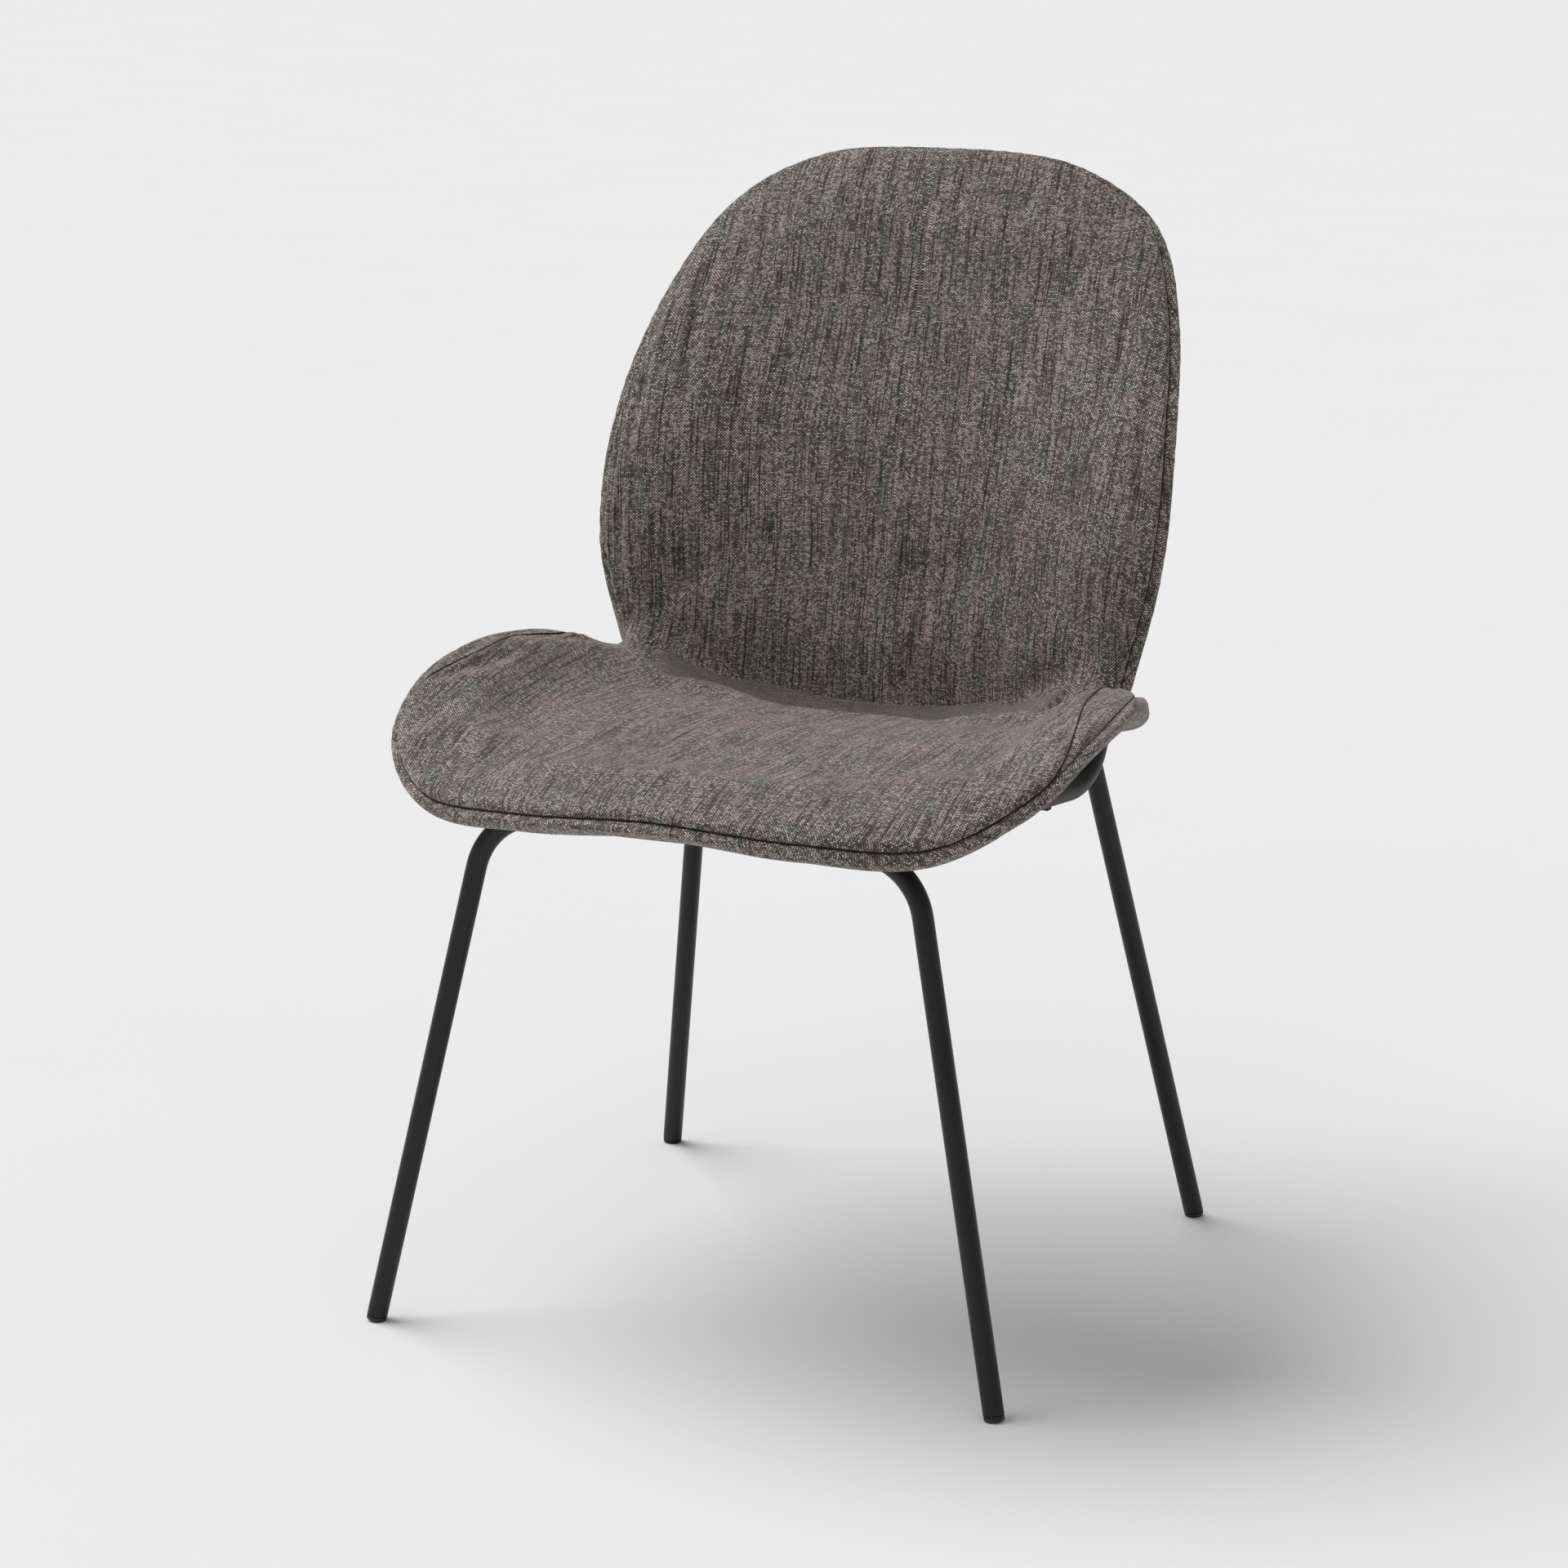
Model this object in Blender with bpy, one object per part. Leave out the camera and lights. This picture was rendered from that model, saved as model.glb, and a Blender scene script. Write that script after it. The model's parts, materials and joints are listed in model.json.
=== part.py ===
"""Upholstered dining chair on a bent steel tube frame.

Metres. +Z is up, -Y is the front of the chair and +X is the sitter's left.
The seat and the back are two moulded shells, each with a foam pad on its inner side and a padded cover on
its outer side. Pad and cover meet in a seam all round the shell's rim. A U-shaped front leg tube, two back
stems, two rear legs and a cross tube make the frame. Four bosses on each shell are screwed to its tabs.
"""

import math

import bmesh
import bpy
import numpy as np
from mathutils import Matrix, Vector

GAP = 0.0003

# Frame tubes
LEG_R = 0.008
LEG_WALL = 0.0015
STEM_R = 0.010
STEM_WALL = 0.0018
TUBE_SIDES = 12
BEND_STEPS = 6

# Front leg frame: foot centre on the floor, start of the bend, bend radius
FRONT_FOOT = Vector((0.2585, -0.2447, 0.0))
FRONT_BEND = Vector((0.1836, -0.2048, 0.3623))
FRONT_BEND_R = 0.054

# Rear legs run straight from the floor to the back stem
REAR_FOOT = Vector((0.2402, 0.2454, 0.0))
REAR_TOP = Vector((0.1670, 0.1647, 0.4270))

# Back stem: welded to the front crossbar, along under the seat, then up behind the back
STEM_BEND = Vector((0.175, 0.1095, 0.3878))
STEM_BEND_R = 0.046
STEM_FRONT_X = 0.120
STEM_FRONT_DROP = 0.003
STEM_LEAN = math.radians(14)
STEM_UP = Vector((0, math.sin(STEM_LEAN), math.cos(STEM_LEAN)))
STEM_FORWARD = Vector((0, -math.cos(STEM_LEAN), math.sin(STEM_LEAN)))
STEM_TOP_Z = 0.600
CROSS_TUBE_Y = 0.080
CROSS_TUBE_DROP = 0.016

# Foot glides
GLIDE_HEAD = 0.0045
GLIDE_HEAD_R = 0.0078
GLIDE_PLUG = 0.016

# Stem caps
CAP_PLUG = 0.012
CAP_HEAD = 0.0032

# Upholstery outline: the +X half of each rim seam, from the notch between seat and back to the middle
NOTCH = (0.222, 0.1165, 0.470)
SEAT_RIM = (
    NOTCH,
    (0.2535, 0.0534, 0.4860),
    (0.2745, -0.0265, 0.4945),
    (0.2765, -0.1136, 0.4820),
    (0.2578, -0.1905, 0.4519),
    (0.2055, -0.2444, 0.4245),
    (0.1141, -0.2756, 0.4265),
    (0.0, -0.2852, 0.4334),
)
BACK_RIM = (
    NOTCH,
    (0.2325, 0.1185, 0.5231),
    (0.2390, 0.1320, 0.5921),
    (0.2345, 0.1610, 0.6690),
    (0.2180, 0.2110, 0.7470),
    (0.1810, 0.2590, 0.8165),
    (0.1080, 0.2730, 0.8560),
    (0.0, 0.2790, 0.8640),
)
CREASE_MID = (0.1416, 0.4100)
CREASE_Y_POWER = 2.2
CREASE_Z_POWER = 2.6
RIM_POINTS = 38
CREASE_POINTS = 10
NOTCH_FADE = 0.090
NOTCH_PINCH = 0.005

# Inner surface of the seat: a line as (Y, Z) pairs from front edge to crease, and sides that rise from it
SEAT_CENTRE_Y = -0.070
SEAT_LINE = ((-0.2852, 0.4334), CREASE_MID)
SEAT_RISE_POWER = 2.4
SEAT_UP = Vector((0.0, 0.05, 1.0)).normalized()

# Inner surface of the back: a leaning line as (Z, Y) pairs, and sides that wrap forwards from it
BACK_CENTRE_Z = 0.640
BACK_LINE = (CREASE_MID[::-1], (0.8640, 0.2790))
BACK_WRAP_POWER = 2.0
BACK_FRONT = Vector((0.0, -1.0, 0.27)).normalized()

# Cross-sections as (distance in from the outline, height off the inner surface), from the seam inwards
PAD_AT_RIM = ((0, 0.0006), (0, 0.0035), (0.0018, 0.008), (0.0075, 0.0140), (0.017, 0.0190), (0.032, 0.022))
PAD_AT_CREASE = (
    (0.001, 0.0006), (0.0045, 0.004), (0.010, 0.0095), (0.016, 0.0155), (0.023, 0.0200), (0.036, 0.022),
)
COVER_AT_RIM = (
    (0, 0.0006), (-0.0026, 0.0030), (-0.0036, 0.0070), (-0.0022, 0.0112),
    (0.0025, 0.0140), (0.012, 0.0148), (0.032, 0.0132), (0.055, 0.0112),
)
COVER_AT_CREASE = (
    (0.001, 0.0006), (-0.001, 0.004), (-0.0035, 0.008), (-0.0045, 0.0105),
    (-0.001, 0.0112), (0.012, 0.0112), (0.030, 0.0112), (0.050, 0.0112),
)
INNER_RINGS = (0.70, 0.42, 0.18)
RING_INSET = 0.030
SEAM_INSET = 0.001
SHELL_THICKNESS = 0.008
SHELL_INSET = 0.006

# Bosses, inserts, screws and tabs
BOSS_R = 0.010
INSERT_R = 0.0042
INSERT_BORE_R = 0.0033
INSERT_LENGTH = 0.011
SCREW_R = 0.0030
SCREW_HEAD_R = 0.0060
SCREW_HEAD = 0.0036
SCREW_SOCKET_R = 0.0020
WASHER_R = 0.0070
WASHER_THICKNESS = 0.0012
TAB_THICKNESS = 0.003
TAB_CORNER = 0.006
TAB_IN_STEM = 0.004
TAB_REACH = 0.024
SEAT_TAB_SIZE = (0.046, 0.034)
SEAT_TAB_YS = {"front": -0.130, "rear": 0.055}
BACK_TAB_ZS = {"lower": 0.505, "upper": 0.570}
BACK_TAB_MARGIN = 0.016
SMALL_SIDES = 12

SIDES = {"left": 1, "right": -1}

FABRIC = (0.125, 0.108, 0.100)
BLACK_STEEL = (0.012, 0.012, 0.013)
MOULDED_PLASTIC = (0.03, 0.03, 0.03)
BLACK_NYLON = (0.015, 0.015, 0.015)
BRASS = (0.62, 0.45, 0.18)
ZINC = (0.45, 0.45, 0.46)


# ---------------------------------------------------------------- scene and objects


def clear_scene():
    for obj in list(bpy.data.objects):
        bpy.data.objects.remove(obj)


def material(name, colour, roughness, metallic=0.0):
    made = bpy.data.materials.get(name) or bpy.data.materials.new(name)
    made.use_nodes = True
    shader = made.node_tree.nodes["Principled BSDF"]
    shader.inputs["Base Color"].default_value = (*colour, 1.0)
    shader.inputs["Roughness"].default_value = roughness
    shader.inputs["Metallic"].default_value = metallic
    return made


def add_object(name, mesh_maker, finish=None, cutter=False):
    """A named object from a bmesh. A cutter stays out of the render."""
    mesh = bpy.data.meshes.new(name)
    bmesh.ops.recalc_face_normals(mesh_maker, faces=mesh_maker.faces)
    mesh_maker.to_mesh(mesh)
    mesh_maker.free()
    mesh.shade_smooth()
    mesh.set_sharp_from_angle(angle=math.radians(40))
    obj = bpy.data.objects.new(name, mesh)
    bpy.context.scene.collection.objects.link(obj)
    if finish:
        mesh.materials.append(finish)
    if cutter:
        obj.hide_render = True
        obj.display_type = "WIRE"
    return obj


def boolean(obj, other, operation="DIFFERENCE"):
    modifier = obj.modifiers.new(f"{operation.lower()}_{other.name}", "BOOLEAN")
    modifier.operation = operation
    modifier.solver = "EXACT"
    modifier.object = other


# ---------------------------------------------------------------- basic shapes


def ring_body(rings, ends=None):
    """A closed bmesh through rings of equal size. ends are the centre points of the first and last ring."""
    made = bmesh.new()
    loops = [[made.verts.new(point) for point in ring] for ring in rings]
    count = len(loops[0])
    for lower, upper in zip(loops, loops[1:]):
        for i in range(count):
            j = (i + 1) % count
            made.faces.new((lower[i], lower[j], upper[j], upper[i]))
    if ends is None:
        made.faces.new(loops[0])
        made.faces.new(reversed(loops[-1]))
        return made
    for loop, centre in ((loops[0], ends[0]), (loops[-1], ends[1])):
        middle = made.verts.new(centre)
        for i in range(count):
            made.faces.new((loop[i], loop[(i + 1) % count], middle))
    return made


def nested_body(rings, ends):
    """ring_body in triangles whose diagonals match those of a nested_body with the same rings beside it."""
    made = ring_body(rings, ends)
    made.verts.ensure_lookup_table()
    count = len(rings[0])
    spread = [np.ptp(np.array(ring), axis=0).sum() for ring in rings]
    quads = [face for face in made.faces if len(face.verts) == 4]
    for k, face in enumerate(quads):
        lower, i = divmod(k, count)
        j = (i + 1) % count
        outer, inner = (lower, lower + 1) if spread[lower] > spread[lower + 1] else (lower + 1, lower)
        ends_of_cut = made.verts[outer * count + i], made.verts[inner * count + j]
        bmesh.utils.face_split(face, *ends_of_cut)
    return made


def closed_ring_body(rings):
    """A bmesh torus through rings, where the last ring joins the first, as in a washer or an open tube."""
    made = bmesh.new()
    loops = [[made.verts.new(point) for point in ring] for ring in rings]
    count = len(loops[0])
    for lower, upper in zip(loops, loops[1:] + loops[:1]):
        for i in range(count):
            j = (i + 1) % count
            made.faces.new((lower[i], lower[j], upper[j], upper[i]))
    return made


def circle(centre, axis, radius, sides, start=None):
    """Points round an axis. start fixes the first point's direction."""
    axis = Vector(axis).normalized()
    across = Vector(start) if start else axis.orthogonal()
    across = (across - axis * across.dot(axis)).normalized()
    up = axis.cross(across)
    turn = 2 * math.pi / sides
    return [
        Vector(centre) + (across * math.cos(i * turn) + up * math.sin(i * turn)) * radius
        for i in range(sides)
    ]


def turned(base, axis, profile, sides, bore=False):
    """A turned body on an axis from base. profile is (distance along the axis, radius), end to end."""
    axis = Vector(axis).normalized()
    start = axis.orthogonal()
    rings = [circle(Vector(base) + axis * along, axis, radius, sides, start) for along, radius in profile]
    return closed_ring_body(rings) if bore else ring_body(rings)


def rod(start, end, radius, sides=SMALL_SIDES):
    length = (Vector(end) - Vector(start)).length
    return turned(start, Vector(end) - Vector(start), ((0, radius), (length, radius)), sides)


def plate(centre, axes, size, corner):
    """A flat plate with rounded corners. axes are its width, length and thickness directions."""
    made = bmesh.new()
    bmesh.ops.create_cube(made, size=1.0)
    bmesh.ops.scale(made, vec=size, verts=made.verts)
    upright = [edge for edge in made.edges if abs((edge.verts[0].co - edge.verts[1].co).z) > size[2] / 2]
    bmesh.ops.bevel(made, geom=upright, offset=corner, segments=2, profile=0.5, affect="EDGES")
    turn = Matrix([Vector(axis).normalized() for axis in axes]).transposed().to_4x4()
    bmesh.ops.transform(made, matrix=Matrix.Translation(centre) @ turn, verts=made.verts)
    return made


# ---------------------------------------------------------------- tubes


def bend(corner_start, direction_in, direction_out, radius):
    """Points round a tube bend that starts at corner_start, and the direction at its end."""
    direction_in = Vector(direction_in).normalized()
    direction_out = Vector(direction_out).normalized()
    angle = direction_in.angle(direction_out)
    inward = (direction_out - direction_in * direction_out.dot(direction_in)).normalized()
    centre = corner_start + inward * radius
    return [
        centre - inward * radius * math.cos(t) + direction_in * radius * math.sin(t)
        for t in np.linspace(0, angle, BEND_STEPS + 1)
    ]


def tube_rings(path, radius):
    """Rings square to a path, mitred at its points, with no twist."""
    path = [Vector(point) for point in path]
    rings = []
    start = None
    for i, point in enumerate(path):
        before = (point - path[max(i - 1, 0)]).normalized() if i else None
        after = (path[i + 1] - point).normalized() if i + 1 < len(path) else None
        along = ((before or after) + (after or before)).normalized()
        if start is None:
            start = along.orthogonal()
        start = (start - along * start.dot(along)).normalized()
        rings.append(circle(point, along, radius, TUBE_SIDES, start))
    return rings


def hollow_tube(path, radius, wall):
    """An open-ended tube: out along its outside and back along its bore."""
    return closed_ring_body(tube_rings(path, radius) + tube_rings(path, radius - wall)[::-1])


def solid_tube(path, radius):
    return ring_body(tube_rings(path, radius))


def mirrored(point, side):
    return Vector((point[0] * side, point[1], point[2]))


def front_frame_path():
    """From the foot at -X, over the crossbar, to the foot at +X."""
    along = (FRONT_BEND - FRONT_FOOT).normalized()
    foot = FRONT_FOOT + along * GLIDE_HEAD / along.z
    half = [foot, *bend(FRONT_BEND, along, (-1, 0, 0), FRONT_BEND_R)]
    return [mirrored(point, -1) for point in half] + half[::-1]


def crossbar_point():
    """Middle of the front crossbar."""
    along = (FRONT_BEND - FRONT_FOOT).normalized()
    end = bend(FRONT_BEND, along, (-1, 0, 0), FRONT_BEND_R)[-1]
    return Vector((0, end.y, end.z))


def stem_path(side):
    """From the front crossbar, along under the seat and up behind the back."""
    crossbar = crossbar_point()
    front = Vector((STEM_FRONT_X, crossbar.y, crossbar.z - STEM_FRONT_DROP))
    rise = bend(STEM_BEND, STEM_BEND - front, STEM_UP, STEM_BEND_R)
    top = rise[-1] + STEM_UP * (STEM_TOP_Z - rise[-1].z) / STEM_UP.z
    return [mirrored(point, side) for point in (front, *rise, top)]


def rear_leg_path(side):
    along = (REAR_TOP - REAR_FOOT).normalized()
    foot = REAR_FOOT + along * GLIDE_HEAD / along.z
    return [mirrored(foot, side), mirrored(REAR_TOP, side)]


def stem_x_at(y):
    """The X of the stem at +X, under the seat, at a Y."""
    front = stem_path(1)[0]
    share = (y - front.y) / (STEM_BEND.y - front.y)
    return front.x + share * (STEM_BEND.x - front.x)


def foot_glide(foot, top):
    """A nylon plug in the tube's end whose head is cut flat on the floor."""
    along = (Vector(top) - Vector(foot)).normalized()
    bore = LEG_R - LEG_WALL - GAP
    head_top = GLIDE_HEAD / along.z - GAP
    profile = (
        (-0.004, GLIDE_HEAD_R - 0.0010),
        (0.0018, GLIDE_HEAD_R - 0.0002),
        (0.0026, GLIDE_HEAD_R),
        (head_top, GLIDE_HEAD_R),
        (head_top, bore),
        (head_top + GLIDE_PLUG, bore),
        (head_top + GLIDE_PLUG + 0.001, bore - 0.001),
    )
    made = turned(foot, along, profile, TUBE_SIDES)
    everything = [*made.verts, *made.edges, *made.faces]
    cut = bmesh.ops.bisect_plane(
        made, geom=everything, plane_co=(0, 0, 0), plane_no=(0, 0, -1), clear_outer=True
    )
    rim = [edge for edge in cut["geom_cut"] if isinstance(edge, bmesh.types.BMEdge)]
    bmesh.ops.contextual_create(made, geom=rim)
    return made


def make_frame(steel, nylon):
    """The welded tube frame, with its tabs, glides and caps. Returns the stems' cutters."""
    crossbar_cutter = add_object("cut_crossbar", solid_tube(front_frame_path(), LEG_R + GAP), cutter=True)
    add_object("front_leg_frame", hollow_tube(front_frame_path(), LEG_R, LEG_WALL), steel)
    cutters = {}
    for name, side in SIDES.items():
        path = stem_path(side)
        stem = add_object(f"back_stem_{name}", hollow_tube(path, STEM_R, STEM_WALL), steel)
        boolean(stem, crossbar_cutter)
        cutters[name] = add_object(f"cut_stem_{name}", solid_tube(path, STEM_R + GAP), cutter=True)
        leg_path = rear_leg_path(side)
        leg = add_object(f"rear_leg_{name}", hollow_tube(leg_path, LEG_R, LEG_WALL), steel)
        boolean(leg, cutters[name])
        cap_axis = path[-1] - path[-2]
        cap_bore = STEM_R - STEM_WALL - GAP
        cap = (
            (-CAP_PLUG, cap_bore),
            (GAP, cap_bore),
            (GAP, STEM_R),
            (CAP_HEAD - 0.0012, STEM_R - 0.0004),
            (CAP_HEAD, STEM_R - 0.003),
        )
        add_object(f"stem_cap_{name}", turned(path[-1], cap_axis, cap, TUBE_SIDES), nylon)
        feet = {"front": (FRONT_FOOT, FRONT_BEND), "rear": (REAR_FOOT, REAR_TOP)}
        for end, (foot, top) in feet.items():
            glide = foot_glide(mirrored(foot, side), mirrored(top, side))
            add_object(f"foot_glide_{end}_{name}", glide, nylon)
    y, z = CROSS_TUBE_Y, stem_path(1)[0].z - CROSS_TUBE_DROP
    reach = stem_x_at(y)
    tube = hollow_tube([(-reach, y, z), (reach, y, z)], LEG_R, LEG_WALL)
    cross = add_object("rear_cross_tube", tube, steel)
    for cutter in cutters.values():
        boolean(cross, cutter)
    return cutters


# ---------------------------------------------------------------- upholstery surfaces


def smooth_points(controls, count):
    """count points at equal steps along a centripetal Catmull-Rom curve through the control points."""
    points = np.array(controls, float)
    points = np.vstack([2 * points[0] - points[1], points, 2 * points[-1] - points[-2]])
    knots = np.concatenate([[0], np.cumsum(np.sqrt(np.linalg.norm(np.diff(points, axis=0), axis=1)))])
    dense = []
    for i in range(1, len(points) - 2):
        t = np.linspace(knots[i], knots[i + 1], 40, endpoint=False)[:, None]
        a = [
            ((knots[k + 1] - t) * points[k] + (t - knots[k]) * points[k + 1]) / (knots[k + 1] - knots[k])
            for k in (i - 1, i, i + 1)
        ]
        b = [
            ((knots[k + 2] - t) * a[n] + (t - knots[k]) * a[n + 1]) / (knots[k + 2] - knots[k])
            for n, k in enumerate((i - 1, i))
        ]
        dense.append(((knots[i + 1] - t) * b[0] + (t - knots[i]) * b[1]) / (knots[i + 1] - knots[i]))
    dense = np.vstack([*dense, points[-2][None]])
    length = np.concatenate([[0], np.cumsum(np.linalg.norm(np.diff(dense, axis=0), axis=1))])
    wanted = np.linspace(0, length[-1], count)
    return np.stack([np.interp(wanted, length, dense[:, k]) for k in range(3)], axis=1)


def crease_curve(count):
    """The valley where seat and back meet, from the notch at -X to the one at +X, without its ends."""
    share = np.linspace(-1, 1, count + 2)[1:-1]
    mid_y, mid_z = CREASE_MID
    y = mid_y + (NOTCH[1] - mid_y) * np.abs(share) ** CREASE_Y_POWER
    z = mid_z + (NOTCH[2] - mid_z) * np.abs(share) ** CREASE_Z_POWER
    return np.stack([share * NOTCH[0], y, z], axis=1)


def eased(share):
    share = np.clip(share, 0, 1)
    return share * share * (3 - 2 * share)


def outline(half_rim):
    """The outline, the rim's weight at each of its points, and how far it is drawn in near the notches.

    It runs along the rim from the notch at +X to the one at -X, then back along the crease.
    """
    controls = [*half_rim, *[(-x, y, z) for x, y, z in half_rim[-2::-1]]]
    rim = smooth_points(controls, RIM_POINTS)
    crease = crease_curve(CREASE_POINTS)
    points = np.vstack([rim, crease])
    from_notch = np.linalg.norm(points - np.where(points[:, :1] > 0, rim[0], rim[-1]), axis=1)
    weight = eased(from_notch / NOTCH_FADE)
    weight[len(rim):] = 0
    return points, weight, NOTCH_PINCH * (1 - eased(from_notch / NOTCH_FADE))


def line_at(line, value):
    """Where a straight line through two points is at a value of its first number."""
    (a, at_a), (b, at_b) = line
    return at_a + (value - a) * (at_b - at_a) / (b - a)


class Surface:
    """The face between shell and pad, as rings that shrink from the outline to a centre."""

    def __init__(self, half_rim):
        self.outline, self.weight, self.pinch = outline(half_rim)
        self.reach = np.linalg.norm(self.outline - self.centre(), axis=1)

    def offset_ring(self, inset_at_rim, inset_at_crease, height_at_rim, height_at_crease):
        """A ring some way in from the outline and off the face. Both distances differ from rim to crease."""
        inset = self.pinch + self.weight * inset_at_rim + (1 - self.weight) * inset_at_crease
        height = self.weight * height_at_rim + (1 - self.weight) * height_at_crease
        share = 1 - inset / self.reach
        return self.at(share) + self.normals(share) * height[:, None]

    def inner_ring(self, share, height):
        share = np.full(len(self.outline), share)
        return self.at(share) + self.normals(share) * height

    def middle(self, height):
        return self.centre() + np.array(self.facing) * height

    def normals(self, share):
        step = 0.02
        outward = self.at(share + step) - self.at(share - step)
        points = self.at(share)
        around = np.roll(points, -1, axis=0) - np.roll(points, 1, axis=0)
        found = np.cross(outward, around)
        found *= np.sign(found @ np.array(self.facing))[:, None]
        found /= np.linalg.norm(found, axis=1)[:, None]
        for _ in range(3):
            found = found + 0.5 * (np.roll(found, 1, axis=0) + np.roll(found, -1, axis=0))
            found /= np.linalg.norm(found, axis=1)[:, None]
        return found


class SeatSurface(Surface):
    facing = SEAT_UP

    def centre(self):
        return np.array((0, SEAT_CENTRE_Y, line_at(SEAT_LINE, SEAT_CENTRE_Y)))

    def at(self, share):
        points = self.centre() + (self.outline - self.centre()) * share[:, None]
        rise = self.outline[:, 2] - line_at(SEAT_LINE, self.outline[:, 1])
        points[:, 2] = line_at(SEAT_LINE, points[:, 1]) + rise * share**SEAT_RISE_POWER
        return points


class BackSurface(Surface):
    facing = BACK_FRONT

    def centre(self):
        return np.array((0, line_at(BACK_LINE, BACK_CENTRE_Z), BACK_CENTRE_Z))

    def at(self, share):
        points = self.centre() + (self.outline - self.centre()) * share[:, None]
        wrap = line_at(BACK_LINE, self.outline[:, 2]) - self.outline[:, 1]
        points[:, 1] = line_at(BACK_LINE, points[:, 2]) - wrap * share**BACK_WRAP_POWER
        return points


def pad_body(surface):
    """Foam pad: crowned inner side, flat on the shell."""
    rings = [
        surface.offset_ring(rim_inset, crease_inset, rim_height, crease_height)
        for (rim_inset, rim_height), (crease_inset, crease_height) in zip(PAD_AT_RIM, PAD_AT_CREASE)
    ]
    thickness = PAD_AT_RIM[-1][1]
    crown = [surface.inner_ring(share, thickness) for share in INNER_RINGS]
    under = [surface.inner_ring(share, GAP / 2) for share in INNER_RINGS]
    insets = (0, SHELL_INSET, RING_INSET)
    edge = [surface.offset_ring(inset, max(inset, SEAM_INSET), GAP / 2, GAP / 2) for inset in insets]
    all_rings = crown[::-1] + rings[::-1] + edge + under
    return nested_body(all_rings, (surface.middle(thickness), surface.middle(GAP / 2)))


def shell_body(surface):
    """Moulded shell: an even sheet inside the upholstery."""
    top, bottom = -GAP / 2, -GAP / 2 - SHELL_THICKNESS
    upper, lower = [
        [surface.offset_ring(inset, inset, height, height) for inset in (SHELL_INSET, RING_INSET)]
        + [surface.inner_ring(share, height) for share in INNER_RINGS]
        for height in (top, bottom)
    ]
    return nested_body(upper[::-1] + lower, (surface.middle(top), surface.middle(bottom)))


def cover_body(surface):
    """Padded outer cover: a tray round the shell's edge and under it."""
    outer = [
        surface.offset_ring(rim_inset, crease_inset, -rim_depth, -crease_depth)
        for (rim_inset, rim_depth), (crease_inset, crease_depth) in zip(COVER_AT_RIM, COVER_AT_CREASE)
    ]
    thickness = COVER_AT_RIM[-1][1]
    lip, floor = -GAP / 2, -GAP * 1.5 - SHELL_THICKNESS
    wall = SHELL_INSET - GAP
    inner = [
        surface.offset_ring(0, SEAM_INSET, lip, lip),
        surface.offset_ring(wall, wall, lip, lip),
        surface.offset_ring(wall, wall, floor, floor),
        surface.offset_ring(RING_INSET, RING_INSET, floor, floor),
    ]
    inner += [surface.inner_ring(share, floor) for share in INNER_RINGS]
    under = [surface.inner_ring(share, -thickness) for share in INNER_RINGS]
    return nested_body(under[::-1] + outer[::-1] + inner, (surface.middle(-thickness), surface.middle(floor)))


# ---------------------------------------------------------------- fixings


def fixing_axes():
    """Each screw's place on its tab's face towards the shell, its direction into the shell, and its tab."""
    places = []
    for name, side in SIDES.items():
        for end, y in SEAT_TAB_YS.items():
            x = stem_x_at(y)
            z = stem_height_at(y)
            at = Vector(((x - TAB_REACH) * side, y, z + TAB_THICKNESS / 2))
            places.append((f"seat_{{}}_{end}_{name}", at, Vector((0, 0, 1))))
        for end, z in BACK_TAB_ZS.items():
            beside = Vector((TAB_REACH * side, 0, 0))
            at = stem_point(side, z) + STEM_FORWARD * TAB_THICKNESS / 2 - beside
            places.append((f"back_{{}}_{end}_{name}", at, STEM_FORWARD))
    return places


def stem_point(side, z):
    """The point on a stem's axis, behind the back, at a height."""
    top = stem_path(side)[-1]
    return top - STEM_UP * (top.z - z) / STEM_UP.z


def stem_height_at(y):
    """The height of a stem's axis, under the seat, at a Y."""
    front = stem_path(1)[0]
    share = (y - front.y) / (STEM_BEND.y - front.y)
    return front.z + share * (STEM_BEND.z - front.z)


def make_tabs(steel, cutters):
    """Flat steel tabs welded to the stems: four under the seat and two behind the back."""
    width, length = SEAT_TAB_SIZE
    offset = width / 2 - TAB_IN_STEM
    across = Vector((1, 0, 0))
    for name, side in SIDES.items():
        for end, y in SEAT_TAB_YS.items():
            centre = Vector(((stem_x_at(y) - offset) * side, y, stem_height_at(y)))
            body = plate(centre, (across, (0, 1, 0), (0, 0, 1)), (width, length, TAB_THICKNESS), TAB_CORNER)
            tab = add_object(f"seat_tab_{end}_{name}", body, steel)
            boolean(tab, cutters[name])
        low, high = min(BACK_TAB_ZS.values()), max(BACK_TAB_ZS.values())
        middle = stem_point(side, (low + high) / 2) - across * offset * side
        tall = (high - low) / STEM_UP.z + 2 * BACK_TAB_MARGIN
        axes = (across, STEM_UP, STEM_UP.cross(across))
        body = plate(middle, axes, (width, tall, TAB_THICKNESS), TAB_CORNER)
        tab = add_object(f"back_tab_{name}", body, steel)
        boolean(tab, cutters[name])


def surface_distance(surface, at, direction):
    """How far along a direction the face between shell and pad is from a point."""
    shares = np.linspace(0.02, 1, 60)
    cloud = np.vstack([surface.at(np.full(len(surface.outline), share)) for share in shares])
    along = (cloud - np.array(at)) @ np.array(direction)
    beside = np.linalg.norm(cloud - np.array(at) - along[:, None] * np.array(direction), axis=1)
    nearest = np.argsort(beside)[:6]
    return float(np.average(along[nearest], weights=1 / (beside[nearest] + 1e-4)))


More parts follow.
